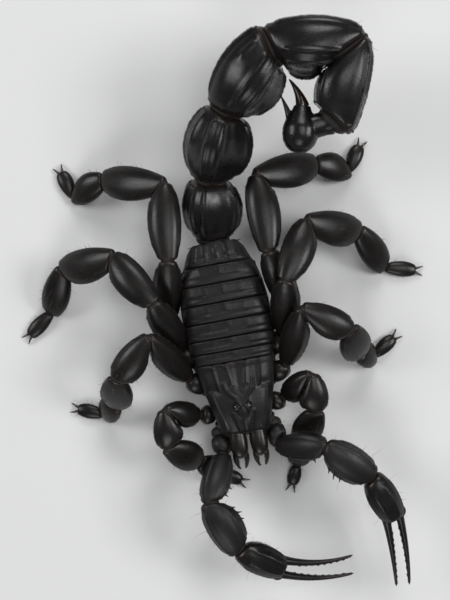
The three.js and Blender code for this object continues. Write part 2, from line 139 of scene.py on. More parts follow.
# ---- Head shield ------------------------------------------------------------------------------------------
# The carapace is one hard plate of black cuticle over the front of the trunk. It grows as a shell with a
# thick rim, and carries keels of beads, a furrow down its middle and a mound for the main pair of eyes.

UP = np.array((0.0, 0.0, 1.0))


def towards(turn, pitch=0.0):
    """A unit direction: turn in degrees from -Y towards +X, and pitch above level."""
    a, b = math.radians(turn), math.radians(pitch)
    return np.array((math.sin(a) * math.cos(b), -math.cos(a) * math.cos(b), math.sin(b)))


TRUNK_TURN = 10  # the trunk's heading, in degrees
FRONT = np.array((4.3, -21.0, 0.0))  # middle of the front edge of the head shield
FORWARD = towards(TRUNK_TURN)
BACKWARD = -FORWARD
LEFTWARD = np.cross(UP, FORWARD)

# Half width of the trunk and height of its back, each at some distances back from the front edge.
TRUNK_HALF_WIDTHS = {-1.5: 3.2, 0: 4.1, 4.5: 5.3, 9: 6.3, 12.4: 6.8, 17: 7.6, 22: 7.7, 27: 7.0, 33.4: 4.2}
BACK_HEIGHTS = {-1.5: 9.3, 0: 9.9, 4.5: 11.2, 9: 11.2, 12.4: 11.0, 21: 12.0, 27: 11.7, 33.4: 10.9}
BACK_ROUNDING = 0.8  # 1 gives the trunk a round back, and less a flatter one
PLATE_EDGE = 0.35  # how far the side edge of a plate lies above the floor of its arch

SHIELD_LENGTH = 12.4
SHIELD_FLOOR = 7.8
SHIELD_THICK = 0.45
SHIELD_GRANULES = {"row_gap": 0.3, "grain_gap": 0.25, "grain": 0.07}
SHIELD_KEELS = [  # (across, back) on the animal's left, and the size of the beads
    ([(0.95, 0.5), (1.35, 2.2), (1.75, 3.6)], 0.125),
    ([(0.62, 3.6), (0.55, 5.0), (0.95, 6.2), (2.3, 7.6), (2.6, 9.0)], 0.13),
    ([(1.25, 8.6), (1.45, 10.2), (1.75, 11.9)], 0.135),
    ([(3.4, 8.0), (3.7, 9.6), (3.95, 11.8)], 0.12),
    ([(3.2, 0.8), (3.6, 2.6), (4.3, 4.8), (4.9, 7.4)], 0.12),
]
SHIELD_KEEL = {"height": 0.3, "wide": 0.3}
MOUND = {"back": 4.9, "half_wide": 1.35, "half_long": 1.9, "rise": 0.75}
REAR_FURROW = {"deep": 0.32, "half_wide": 0.42, "from": 6.4, "fade": 1.2}
FRONT_FURROW = {"deep": 0.22, "half_wide": 0.4, "to": 3.4, "fade": 1.4}
CORNER_SWELLING = {"rise": 0.3, "inside": 0.9, "half_wide": 0.8, "back": 1.1, "half_long": 1.2}
SIDE_GROOVE = {"deep": 0.28, "back": 8.0, "half_long": 0.7, "from": 2.6, "fade": 1.2, "edge": 1.5}
FRONT_LIP = {"drop": 0.28, "long": 0.55}
REAR_RIM = {"rise": 0.1, "from": 11.3, "fade": 0.5}


def unit(vectors):
    """The vectors at a length of one."""
    return vectors / np.maximum(np.linalg.norm(vectors, axis=-1, keepdims=True), 1e-9)


def ease(x):
    """0 up to x = 0, then smoothly to 1 at x = 1."""
    x = np.clip(x, 0, 1)
    return x * x * (3 - 2 * x)


def hump(x, wide):
    """1 at x = 0, falling away smoothly on both sides."""
    return np.exp(-((x / wide) ** 2))


def signed_power(x, power):
    """A power of the size of x, with the sign of x."""
    return np.sign(x) * np.abs(x) ** power


def eased_table(places, table, near=0.4, far=1.2):
    """The size at each place, read from a table whose corners are rounded off over some distance."""
    stations, sizes = list(table), list(table.values())
    return sum(np.interp(places + shift, stations, sizes) for shift in (-far, -near, near, far)) / 4


def half_width(back):
    """Half the width of the trunk at places back from the front edge."""
    return eased_table(back, TRUNK_HALF_WIDTHS)


def trunk(across, back, height):
    """Points of the trunk: across to the animal's left, back from the front edge, height above the floor."""
    across, back, height = np.broadcast_arrays(across, back, height)
    return FRONT + across[..., None] * LEFTWARD + back[..., None] * BACKWARD + height[..., None] * UP


def across_of(share, back):
    """How far across the trunk a share of its half width lies, from 1 on the left edge to -1 on the right."""
    return signed_power(np.sin(share * math.pi / 2), BACK_ROUNDING) * half_width(back)


def share_at(across, back):
    """The share of the half width at which a distance across lies."""
    reach = np.clip(np.abs(across) / half_width(back), 0, 1)
    return np.arcsin(reach ** (1 / BACK_ROUNDING)) * 2 / math.pi * np.sign(across)


def back_surface(share, back, floor):
    """Points on the arched back of the trunk."""
    rise = eased_table(back, BACK_HEIGHTS) - floor - PLATE_EDGE
    height = floor + PLATE_EDGE + np.cos(share * math.pi / 2).clip(0) ** BACK_ROUNDING * rise
    return trunk(across_of(share, back), back, height)


def ridge(x, y, line, height, wide):
    """The rise of a rounded ridge along a line of (x, y) points."""
    nearest = np.full(np.shape(x), np.inf)
    for (ax, ay), (bx, by) in zip(line, line[1:]):
        run = (bx - ax) ** 2 + (by - ay) ** 2
        share = np.clip(((x - ax) * (bx - ax) + (y - ay) * (by - ay)) / run, 0, 1)
        nearest = np.minimum(nearest, np.hypot(x - ax - share * (bx - ax), y - ay - share * (by - ay)))
    return height * hump(nearest, wide)


def normals_of(grid):
    """Outward directions at the points of a grid, whose rows run one way and whose columns the other."""
    along = np.gradient(grid, axis=0)
    around = np.gradient(grid, axis=1)
    return unit(np.cross(along, around))


def grid_quads(rows, cols, closed=False):
    """Faces over a grid of points. A closed grid's last column meets its first."""
    i, j = np.meshgrid(np.arange(rows - 1), np.arange(cols if closed else cols - 1), indexing="ij")
    here = i * cols + j
    beside = i * cols + (j + 1) % cols
    return np.stack([here, here + cols, beside + cols, beside], -1).reshape(-1, 4)


def part_of(points, faces):
    """A part of a piece, with no granules and no wear on it so far."""
    return {"points": points, "faces": faces, "grain": np.zeros(len(points)), "worn": np.zeros(len(points))}


def plate(upper, thick, grain):
    """A plate from the grid of its upper surface, with a rounded rim, an inner side and worn edges."""
    rows, cols = upper.shape[:2]
    start = rows * cols
    index = np.arange(start).reshape(rows, cols)
    loop = np.concatenate([index[0, :-1], index[:-1, -1], index[-1, :0:-1], index[:0:-1, 0]])
    flat, flat_out = upper.reshape(-1, 3), normals_of(upper).reshape(-1, 3)
    edge, edge_out = flat[loop], flat_out[loop]
    sideways = unit(np.cross(edge_out, np.roll(edge, -1, 0) - np.roll(edge, 1, 0)))
    bends = [math.radians(angle) for angle in (35, 90, 145)]
    rims = [edge + thick / 2 * (edge_out * (math.cos(b) - 1) + sideways * math.sin(b)) for b in bends]
    inner = start + len(rims) * len(loop)
    rings = [loop, *(start + k * len(loop) + np.arange(len(loop)) for k in range(len(rims))), inner + loop]
    faces = [grid_quads(rows, cols), inner + grid_quads(rows, cols)[:, ::-1]]
    faces += [np.stack([a, np.roll(a, -1), np.roll(b, -1), b], -1) for a, b in zip(rings, rings[1:])]
    part = part_of(np.concatenate([flat, *rims, flat - flat_out * thick]), faces)
    part["grain"][:start] = np.broadcast_to(grain, (rows, cols)).ravel()
    part["worn"] += 1
    part["worn"][:start].reshape(rows, cols)[1:-1, 1:-1] = 0
    return part


def beaded(points, out, sizes):
    """A row of beads to grow along a line on a surface, each its own way out and size or all the same."""
    return {
        "points": points,
        "out": np.broadcast_to(out, points.shape),
        "row": np.broadcast_to(sizes, len(points)) * MM,
    }


def raw_mesh(name, parts):
    """One mesh of several parts. What the parts say of their points, such as wear, the mesh says too."""
    faces, edges, start = [], [], 0
    for part in parts:
        size = len(part["points"])
        faces += [face for group in part.get("faces", ()) for face in (group + start).tolist()]
        if "row" in part:
            edges += [(start + i, start + i + 1) for i in range(size - 1)]
        start += size
    mesh = bpy.data.meshes.new(name)
    mesh.from_pydata((np.concatenate([part["points"] for part in parts]) * MM).tolist(), edges, faces)
    for key, shape in (("grain", ()), ("worn", ()), ("row", ()), ("out", (3,)), ("unwrap", (3,))):
        if any(key in part for part in parts):
            values = [part.get(key, np.zeros((len(part["points"]), *shape))) for part in parts]
            layer = mesh.attributes.new(key, "FLOAT_VECTOR" if shape else "FLOAT", "POINT")
            layer.data.foreach_set("vector" if shape else "value", np.concatenate(values).ravel())
    mesh.polygons.foreach_set("use_smooth", np.ones(len(mesh.polygons), bool))
    return mesh


def new_tree(name, sockets):
    """An empty geometry tree and its inputs: those named, a seed and a finish."""
    tree = bpy.data.node_groups.new(name, "GeometryNodeTree")
    for label, kind in {**sockets, "Seed": "Int", "Finish": "Material"}.items():
        tree.interface.new_socket(name=label, in_out="INPUT", socket_type="NodeSocket" + kind)
    tree.interface.new_socket(name="Made", in_out="OUTPUT", socket_type="NodeSocketGeometry")
    return tree, tree.nodes.new("NodeGroupInput").outputs


def end_tree(tree, given, made):
    """Gives what a tree made its finish and hands it out."""
    done = wired(tree, "GeometryNodeSetMaterial", {"Geometry": made, "Material": given["Finish"]})
    tree.links.new(done.outputs[0], tree.nodes.new("NodeGroupOutput").inputs["Made"])
    return tree


def made_real(tree, copies):
    """Copies turned into real mesh, shaded smooth."""
    real = wired(tree, "GeometryNodeRealizeInstances", {"Geometry": copies})
    return wired(tree, "GeometryNodeSetShadeSmooth", {"Geometry": real.outputs[0]}).outputs[0]


def named(tree, name, kind="FLOAT"):
    """The value that a mesh carries under a name."""
    return wired(tree, "GeometryNodeInputNamedAttribute", {"Name": name}, data_type=kind).outputs["Attribute"]


def times(tree, a, b, operation="MULTIPLY"):
    """The product of two numbers in a tree, or another sum of them."""
    return wired(tree, "ShaderNodeMath", {0: a, 1: b}, operation=operation).outputs["Value"]


def random_between(tree, low, high, seed):
    """A random number in a tree."""
    inputs = {2: low, 3: high, "Seed": seed}
    return wired(tree, "FunctionNodeRandomValue", inputs, data_type="FLOAT").outputs[1]


def spots_along(tree, lines, spacing, **chosen):
    """Points a spacing apart along the loose edges of a mesh."""
    curves = wired(tree, "GeometryNodeMeshToCurve", {"Mesh": lines, **chosen})
    inputs = {"Curve": curves.outputs[0], "Length": spacing}
    return wired(tree, "GeometryNodeResampleCurve", inputs, mode="LENGTH").outputs[0]


def strewn(tree, skin, spacing, crowding, seed):
    """Points scattered a spacing apart or more, where the skin's grain value allows them."""
    densest = times(tree, crowding, times(tree, spacing, spacing), "DIVIDE")
    inputs = {"Mesh": skin, "Distance Min": spacing, "Density Max": densest}
    inputs |= {"Density Factor": named(tree, "grain"), "Seed": seed}
    return wired(tree, "GeometryNodeDistributePointsOnFaces", inputs, distribute_method="POISSON")


def standing(tree, way):
    """The turn that stands a shape up along a direction."""
    return wired(tree, "FunctionNodeAlignRotationToVector", {"Vector": way}, axis="Z").outputs[0]


def copies_on(tree, points, shape, turn, size):
    """Copies of a shape in a tree, one on each point."""
    inputs = {"Points": points, "Instance": shape, "Rotation": turn, "Scale": size}
    return wired(tree, "GeometryNodeInstanceOnPoints", inputs).outputs[0]


def granule_tree():
    """Grows beads on a shell: in rows along its loose edges, and scattered where its grain value is high."""
    sockets = {"Shell": "Geometry", "Row spacing": "Float", "Grain spacing": "Float", "Grain size": "Float"}
    tree, given = new_tree("granules", sockets)
    row = named(tree, "row")
    bead = wired(tree, "GeometryNodeMeshUVSphere", {"Segments": 8, "Rings": 4, "Radius": 1.0}).outputs["Mesh"]
    spots = spots_along(tree, given["Shell"], given["Row spacing"], Selection=row)
    row_size = times(tree, row, random_between(tree, 0.6, 1.25, given["Seed"]))
    rows = copies_on(tree, spots, bead, standing(tree, named(tree, "out", "FLOAT_VECTOR")), row_size)

    lines = {"Geometry": given["Shell"], "Selection": row}
    skin = wired(tree, "GeometryNodeDeleteGeometry", lines).outputs[0]
    specks_at = strewn(tree, skin, given["Grain spacing"], 1.3, given["Seed"])
    speck = wired(tree, "GeometryNodeMeshIcoSphere", {"Radius": 1.0, "Subdivisions": 1}).outputs["Mesh"]
    speck_size = times(tree, given["Grain size"], random_between(tree, 0.4, 1.3, given["Seed"]))
    specks = copies_on(tree, specks_at.outputs[0], speck, specks_at.outputs["Rotation"], speck_size)

    whole = tree.nodes.new("GeometryNodeJoinGeometry")
    for grown_part in (specks, rows, skin):
        tree.links.new(grown_part, whole.inputs[0])
    return end_tree(tree, given, made_real(tree, whole.outputs[0]))


def evaluated_mesh(piece):
    """A plain mesh of an object as its modifiers make it."""
    return bpy.data.meshes.new_from_object(piece.evaluated_get(bpy.context.evaluated_depsgraph_get()))


def grown(name, mesh, tree, **sizes):
    """A plain mesh object made by a geometry tree from a mesh, with the tree's named inputs set."""
    piece = placed(name, mesh)
    grower = piece.modifiers.new("growth", "NODES")
    grower.node_group = tree
    for socket in tree.interface.items_tree:
        label = socket.name.replace(" ", "_").lower()
        if socket.in_out == "INPUT" and label in sizes:
            grower[socket.identifier] = sizes[label]
    plain = evaluated_mesh(piece)
    piece.modifiers.clear()
    piece.data = plain
    plain.name = name
    return piece


def on_the_body(piece, nodes=()):
    """Hands over a finished piece: it rides on the one body and stands for its nodes, where it has some."""
    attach(piece, "root")
    if nodes:
        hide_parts(*nodes)


granules = granule_tree()


def shelled(name, parts, look, slot, nodes, row_gap=0.5, grain_gap=0.5, grain=0.11, seed=1):
    """A finished hard piece: its parts joined, granules grown on it, and put in its nodes' place."""
    sizes = {"row_spacing": row_gap * MM, "grain_spacing": grain_gap * MM, "grain_size": grain * MM}
    piece = grown(name, raw_mesh(name, parts), granules, seed=seed, finish=look, **sizes)
    on_the_body(piece, nodes)


def cuticle(name, deep, warm, edge, rough, pits):
    """Black cuticle: brown in patches and at worn rims, pitted and finely grained, with a thin waxy coat."""
    made, tree, shader, place = blank_material(name)
    patches = mottle(tree, place, 420.0, 5.0)
    fine = mottle(tree, place, 5200.0, 3.0)
    worn = wired(tree, "ShaderNodeAttribute", attribute_name="worn").outputs["Fac"]
    colour = blend(tree, times(tree, worn, fine), blend(tree, patches, deep, warm), edge)
    span = {"From Min": 0.3, "From Max": 0.7, "To Min": rough[0], "To Max": rough[1]}
    dull = wired(tree, "ShaderNodeMapRange", {"Value": patches, **span}).outputs["Result"]
    spread = {"Vector": place, "Scale": pits["scale"]}
    cells = wired(tree, "ShaderNodeTexVoronoi", spread, feature="SMOOTH_F1").outputs["Distance"]
    pitting = {"Height": cells, "Distance": pits["deep"] * MM}
    pitted = wired(tree, "ShaderNodeBump", pitting, invert=True).outputs["Normal"]
    crisp = wired(tree, "ShaderNodeBump", {"Height": fine, "Distance": 0.008 * MM, "Normal": pitted})
    feed(tree, shader, {"Base Color": colour, "Roughness": dull, "Normal": crisp.outputs["Normal"]})
    feed(tree, shader, {"Specular IOR Level": 0.27, "Coat Weight": 0.06, "Coat Roughness": 0.2})
    return made


plate_look = cuticle(
    "grained_black_cuticle",
    deep=(0.003, 0.003, 0.0034),
    warm=(0.0065, 0.0056, 0.005),
    edge=(0.016, 0.010, 0.007),
    rough=(0.4, 0.52),
    pits={"deep": 0.02, "scale": 6400.0},
)


def shield_relief(x, y):
    """How far the head shield stands above its plain arch, x across and y back."""
    aside = np.abs(x)
    half = half_width(y)
    lower, upper = REAR_FURROW, FRONT_FURROW
    rise = MOUND["rise"] * hump(x, MOUND["half_wide"]) * hump(y - MOUND["back"], MOUND["half_long"])
    rise = rise - lower["deep"] * hump(x, lower["half_wide"]) * ease((y - lower["from"]) / lower["fade"])
    rise = rise - upper["deep"] * hump(x, upper["half_wide"]) * ease((upper["to"] - y) / upper["fade"])
    swelling = hump(aside - half + CORNER_SWELLING["inside"], CORNER_SWELLING["half_wide"])
    swelling = swelling * hump(y - CORNER_SWELLING["back"], CORNER_SWELLING["half_long"])
    groove = hump(y - SIDE_GROOVE["back"], SIDE_GROOVE["half_long"])
    groove = groove * ease((aside - SIDE_GROOVE["from"]) / SIDE_GROOVE["fade"])
    groove = groove * ease((half - aside) / SIDE_GROOVE["edge"])
    rise = rise + CORNER_SWELLING["rise"] * swelling - SIDE_GROOVE["deep"] * groove
    for line, _ in SHIELD_KEELS:
        rise = rise + ridge(aside, y, line, **SHIELD_KEEL)
    rise = rise - FRONT_LIP["drop"] * ease((FRONT_LIP["long"] - y) / FRONT_LIP["long"])
    return rise + REAR_RIM["rise"] * ease((y - REAR_RIM["from"]) / REAR_RIM["fade"])


def shield_surface(share, back):
    """Points on the head shield."""
    points = back_surface(share, back, SHIELD_FLOOR)
    points[..., 2] += shield_relief(across_of(share, back), back) * ease((1 - np.abs(share)) / 0.2)
    return points


def row_on(surface, line, sizes, step=0.2):
    """Beads along a line of (across, back) points laid on a surface of the trunk."""
    line = np.array(line, float)
    reach = np.concatenate([[0], np.cumsum(np.hypot(*np.diff(line, axis=0).T))])
    spots = np.arange(0, reach[-1], step)
    across, back = (np.interp(spots, reach, line[:, k]) for k in (0, 1))
    share = share_at(across, back)
    points = surface(share, back)
    out = unit(np.cross(surface(share, back + 0.05) - points, surface(share - 0.01, back) - points))
    return beaded(points, out, sizes)


def on_both_sides(line):
    """A line of (across, back) points on the animal's left, and its mirror image on the right."""
    return [np.array(line) * (side, 1) for side in (1, -1)]


share, back = np.meshgrid(np.linspace(1, -1, 97), np.linspace(0, SHIELD_LENGTH - 0.15, 77))
notch = 0.35 * hump(share, 0.14) * ease((2 - back) / 2) - 0.35 * (1 - share**2) * ease((3 - back) / 3)
shield = plate(shield_surface(share, back + notch), SHIELD_THICK, 0.25 + 0.75 * ease((back - 1) / 8))
front_rim = [(x, 0.35 - 0.3 * (1 - (x / 3.9) ** 2)) for x in np.linspace(-3.7, 3.7, 12)]
rear_rim = [(-5.6, 11.95), (5.6, 11.95)]
rows = [row_on(shield_surface, line, size) for left, size in SHIELD_KEELS for line in on_both_sides(left)]
rows += [row_on(shield_surface, front_rim, 0.11), row_on(shield_surface, rear_rim, 0.1)]
shelled("head_shield", [shield, *rows], plate_look, "shell", ["carapace"], **SHIELD_GRANULES, seed=3)

# ---- Eyes -------------------------------------------------------------------------------------------------
# One pair of large simple eyes looks out from the sides of the mound, and three small ones sit in a row at
# each front corner of the shield. Each is a clear, hard black lens, domed and wet-looking, in a raised rim.

SIDES = {"left": 1, "right": -1}  # the animal's own sides
MAIN_EYE = {"radius": 0.7, "across": 0.95, "back": 4.7, "height": 11.65}
CORNER_EYE = {"radius": 0.2, "share": 0.93, "back": 0.75, "apart": 0.62, "shrink": 0.12}

eye_look, tree, shader, place = blank_material("wet_black_lens")
lens = blend(tree, mottle(tree, place, 900.0), (0.010, 0.008, 0.007), (0.0015, 0.0015, 0.002))
feed(tree, shader, {"Base Color": lens, "Roughness": 0.2, "Coat Weight": 0.25, "Coat Roughness": 0.16})


def frame_round(axis, lean=0.0):
    """The directions across and over a piece that points along an axis, its top leaning to its left."""
    level = unit(UP - axis * axis[2])
    across = np.cross(level, axis)
    top = level * math.cos(math.radians(lean)) + across * math.sin(math.radians(lean))
    return np.cross(top, axis), top


def oval(angle, wide, deep, corner):
    """Distances across and over of an oval, at angles from its top. A corner above 2 squares it off."""
    x = signed_power(np.sin(angle), 2 / corner) * wide / 2
    y = signed_power(np.cos(angle), 2 / corner) * deep / 2
    return x, y


def closed_skin(grid):
    """A skin over rings of points, closed round and at both ends."""
    rows, cols = grid.shape[:2]
    points = np.concatenate([grid.reshape(-1, 3), grid[[0, -1]].mean(axis=1)])
    near, far, last = rows * cols, rows * cols + 1, (rows - 1) * cols
    ring = np.arange(cols)
    after = np.roll(ring, -1)
    near_end = np.stack([np.full(cols, near), ring, after], -1)
    far_end = np.stack([np.full(cols, far), last + after, last + ring], -1)
    return part_of(points, [grid_quads(rows, cols, closed=True), near_end, far_end])


def turned(spine, across, top, wide, deep, profile, cols, corner=2.0):
    """A closed skin round a spine: the profile scales each of its oval rings."""
    x, y = oval(np.linspace(0, 2 * math.pi, cols, endpoint=False), wide, deep, corner)
    profile = np.asarray(profile)[:, None, None]
    return closed_skin(spine[:, None] + profile * (x[:, None] * across + y[:, None] * top))


def dome(centre, out, radius, cols=28):
    """A ball whose poles lie along a direction."""
    across, top = frame_round(out)
    angle = np.linspace(0.03, math.pi - 0.03, 17)
    spine = centre - np.cos(angle)[:, None] * radius * out
    return turned(spine, across, top, 2 * radius, 2 * radius, np.sin(angle), cols)


def ring_round(centre, out, radius, thick, steps=36, sides=10):
    """A raised rim round a lens."""
    across, top = frame_round(out)
    angle = np.linspace(0, 2 * math.pi, steps, endpoint=False)[:, None]
    outward = np.cos(angle) * across + np.sin(angle) * top
    turn = np.linspace(0, 2 * math.pi, sides, endpoint=False)
    rings = [centre + outward * (radius + thick * math.cos(b)) + out * thick * math.sin(b) for b in turn]
    quads = grid_quads(steps + 1, sides, closed=True) % (steps * sides)
    part = part_of(np.stack(rings, axis=1).reshape(-1, 3), [quads])
    part["worn"] += 0.3
    return part


rims = []
for name, side in SIDES.items():
    centre = trunk(side * MAIN_EYE["across"], MAIN_EYE["back"], MAIN_EYE["height"])
    out = unit(side * LEFTWARD * 0.8 + UP * 0.62 - BACKWARD * 0.12)
    shelled(f"{name}_main_eye", [dome(centre, out, MAIN_EYE["radius"])], eye_look, "eye", [f"eye_{name}"])
    rims.append(ring_round(centre + out * 0.28, out, MAIN_EYE["radius"] * 0.95, 0.13))
    corner_eyes = []
    for k in range(3):
        share, back = side * (CORNER_EYE["share"] - 0.012 * k), CORNER_EYE["back"] + CORNER_EYE["apart"] * k
        radius = CORNER_EYE["radius"] * (1 - CORNER_EYE["shrink"] * k)
        spot = shield_surface(np.array(share), np.array(back)) + UP * 0.02
        out = unit(side * LEFTWARD * 0.9 + UP * 0.4 - BACKWARD * (0.35 - 0.2 * k))
        corner_eyes.append(dome(spot, out, radius, cols=18))
        rims.append(ring_round(spot + out * 0.05, out, radius, 0.06))
    shelled(f"{name}_corner_eyes", corner_eyes, eye_look, "eye", [])
shelled("eye_rims", rims, plate_look, "shell", [])

# ---- Back plates ------------------------------------------------------------------------------------------
# Seven plates of the same black cuticle cross the trunk behind the shield. Each tucks its smooth front edge
# under the plate before it and ends in a beaded rim. A keel runs down the middle, and the last has five.

PLATE_LENGTHS = (1.9, 2.3, 2.9, 3.2, 3.3, 3.2, 3.9)
PLATE_EDGES = np.cumsum([SHIELD_LENGTH, *PLATE_LENGTHS])
PLATE_FLOOR = 7.9
PLATE_THICK = 0.4
PLATE_GRANULES = {"row_gap": 0.27, "grain_gap": 0.32, "grain": 0.08}
TUCKED = 0.75  # how far a plate reaches under the one before it
RISES = {"tucked": -0.6, "furrow": -0.12, "arch": 0.22, "rim": 0.1, "middle_keel": 0.22, "side_keel": 0.1}
LAST_KEELS = [[(0, 30.6), (0, 32.0)], [(1.9, 30.2), (1.7, 32.6)], [(3.9, 30.4), (3.3, 32.6)]]
LAST_KEEL = {"height": 0.34, "wide": 0.3}


def back_plate(number, front, length):
    """The parts of one back plate, which starts at front."""
    rear = front + length
    last = number == len(PLATE_LENGTHS)

    def surface(share, back):
        """Low where it is tucked in, with a cross furrow, a raised rear rim and its keels."""
        points = back_surface(share, back, PLATE_FLOOR)
        aside = np.abs(across_of(share, back))
        along = (back - front) / length
        rise = RISES["tucked"] * ease((0.16 - along) / 0.3) + RISES["rim"] * ease((along - 0.6) / 0.35)
        rise = rise + RISES["furrow"] * hump(along - 0.36, 0.12) * ease((1 - np.abs(share)) / 0.5)
        rise = rise + RISES["arch"] * np.sin(math.pi * np.clip(along, 0, 1))
        if last:
            for line in LAST_KEELS:
                rise = rise + ridge(aside, back, line, **LAST_KEEL)
        else:
            side_keel = [(3.1, front + length * 0.55), (3.3, rear - 0.2)]
            rise = rise + RISES["middle_keel"] * hump(aside, 0.4) * ease((along - 0.35) / 0.4)
            rise = rise + ridge(aside, back, side_keel, RISES["side_keel"], 0.6)
        points[..., 2] += rise * ease((1 - np.abs(share)) / 0.12)
        return points

    spots = np.linspace(front - TUCKED, rear - 0.12, 12 + round(length * 7))
    share, back = np.meshgrid(np.linspace(1, -1, 91), spots)
    along = (back - front) / length
    bow = (1.3 if last else 0.22) * ease((np.abs(share) - 0.5) / 0.5) * ease(along)
    grain = ease((along - 0.2) / 0.5) * (0.35 + 0.65 * ease((np.abs(share) - 0.02) / 0.2))
    beads = [([(-7.2, rear - 0.3), (7.2, rear - 0.3)], 0.095)]
    if last:
        middle, *left_keels = LAST_KEELS
        lines = [middle, *(line for left in left_keels for line in on_both_sides(left))]
        beads += [(line, 0.125) for line in lines]
    else:
        beads.append(([(0, front + length * 0.45), (0, rear - 0.4)], 0.11))
        beads += [(line, 0.095) for line in on_both_sides([(3.1, front + length * 0.6), (3.3, rear - 0.4)])]
    rows = [row_on(surface, line, size) for line, size in beads]
    return [plate(surface(share, back - bow), PLATE_THICK, grain), *rows]


for number, (front, length) in enumerate(zip(PLATE_EDGES, PLATE_LENGTHS), 1):
    name, node = f"back_plate_{number}", f"tergite_{number}"
    parts = back_plate(number, front, length)
    shelled(name, parts, plate_look, "shell", [node], **PLATE_GRANULES, seed=10 + number)

# ---- Trunk skin -------------------------------------------------------------------------------------------
# Under the plates the trunk is one bag of tough dark skin. It shows at the sides as a pleated band between
# the back plates and the belly plates, and round the roots of the limbs. The pleats let a fed animal swell.

BELLY_HEIGHTS = {-1.5: 4.6, 3: 3.5, 12: 3.1, 27: 3.1, 33.4: 4.9}
BAG_ENDS = (-0.6, PLATE_EDGES[-1] - 0.2)
BAG_MIDDLE = 6.9  # its height where it is widest
BAG_INSET = {"sides": 0.55, "back": 0.95, "belly": 0.25}  # how far it lies inside the plates

skin_look, tree, shader, place = blank_material("leathery_dark_skin")
brown = blend(tree, mottle(tree, place, 600.0, 6.0), (0.005, 0.0045, 0.004), (0.012, 0.009, 0.0075))
creases = mottle(tree, place, 1900.0, 4.0, Distortion=1.2)
wrinkled = wired(tree, "ShaderNodeBump", {"Height": creases, "Distance": 0.09 * MM, "Strength": 0.8})
feed(tree, shader, {"Base Color": brown, "Normal": wrinkled.outputs["Normal"], "Roughness": 0.55})
feed(tree, shader, {"Specular IOR Level": 0.3, "Sheen Weight": 0.02})

places = np.linspace(*BAG_ENDS, 110)[:, None]
angle = np.linspace(0, 2 * math.pi, 72, endpoint=False)
half = half_width(places) - BAG_INSET["sides"]
top = eased_table(places, BACK_HEIGHTS) - BAG_INSET["back"]
belly = eased_table(places, BELLY_HEIGHTS) + BAG_INSET["belly"]
sine, cosine = np.sin(angle), np.cos(angle)
pleats = 0.1 * np.sin(places * 5.2 + 2 * np.sin(angle * 3)) + 0.09 * np.sin(sine * 46 + places * 0.7)
from_end = np.minimum(places - BAG_ENDS[0], BAG_ENDS[1] - places)
rounding = np.sqrt(np.clip(1 - (1 - ease(from_end / 1.2)) ** 2, 0.02, 1))
reach = signed_power(cosine, 0.72) * (half + np.abs(cosine) ** 6 * pleats) * rounding
lift = np.where(sine > 0, top - BAG_MIDDLE, BAG_MIDDLE - belly) * signed_power(sine, 0.75) * rounding
skin = closed_skin(trunk(reach, places, BAG_MIDDLE + lift))
shelled("trunk_skin", [skin], skin_look, "membrane", ["belly"])

# ---- Hip plates -------------------------------------------------------------------------------------------
# Underneath, the front of the trunk is paved by the hips of the legs and pincer arms: long wedges of cuticle
# that meet at a small breastplate. Lobes of the first hips reach forward under the mouth and guide food in.

HIPS = [(4.7, 3.5), (5.9, 8.0), (6.7, 12.7), (7.1, 17.4)]  # (across, back) where each leg leaves the trunk
HIPS_MEET = [(1.55, 4.9), (1.45, 7.7), (1.2, 10.2), (1.0, 12.6)]  # and where its hip ends below the trunk
HIP_HEIGHT = 5.6
HIP = {"inner_height": 4.6, "wide": 3.9, "deep": 3.3, "sizes": (0.72, 0.92, 1, 1, 0.9)}
LEG_BULK = (0.88, 0.94, 1, 1)  # of the first to the fourth leg
ARM_ROOT = (4.7, 0.4, 5.8)  # across, back, height
FRONT_LOBES = [  # each on both sides: inner end, outer end (across, back, height), wide, deep, ring sizes
    ((1.5, 1.9, 5.5), (ARM_ROOT[0] + 0.1, *ARM_ROOT[1:]), 4.2, 3.9, (0.8, 1, 1, 0.86)),
    ((1.5, 5.2, 4.3), (1.35, -0.5, 5.0), 1.9, 1.9, (0.9, 1, 0.95, 0.7)),
    ((0.62, 7.8, 4.2), (0.55, 0.9, 4.7), 1.25, 1.6, (1, 1, 0.95, 0.7)),
]
MIDDLE_PLATES = [  # the breastplate, the two flaps behind it and the root of the combs
    ((0, 9.6, 3.9), (0, 13.0, 3.7), 1.9, 1.4, (0.35, 0.7, 1, 1)),
    ((0.1, 13.9, 3.55), (1.75, 14.1, 3.65), 1.5, 1.1, (0.9, 1, 0.8)),
    ((-0.1, 13.9, 3.55), (-1.75, 14.1, 3.65), 1.5, 1.1, (0.9, 1, 0.8)),
    ((-1.6, 15.2, 3.35), (1.6, 15.2, 3.35), 1.2, 0.9, (0.8, 1, 1, 0.8)),
]

belly_look = cuticle(
    "smooth_underside_cuticle",
    deep=(0.0036, 0.0033, 0.0032),
    warm=(0.0098, 0.0076, 0.006),
    edge=(0.03, 0.018, 0.011),
    rough=(0.28, 0.38),
    pits={"deep": 0.012, "scale": 4800.0},
)


def wedge(inner, outer, wide, deep, sizes, cols=28, rows=26, corner=2.4):
    """A rounded wedge of cuticle between two points, its ring sizes given from the inner end to the outer."""
    share = (1 - np.cos(np.linspace(0, math.pi, rows))) / 2
    across, top = frame_round(unit(outer - inner))
    ends = np.sqrt(1 - (1 - ease(np.minimum(share, 1 - share) / 0.12)) ** 2 * 0.9)
    table = dict(zip(np.linspace(0, 1, len(sizes)), sizes))
    profile = eased_table(share, table, near=0.013, far=0.04) * ends
    return turned(inner + share[:, None] * (outer - inner), across, top, wide, deep, profile, cols, corner)


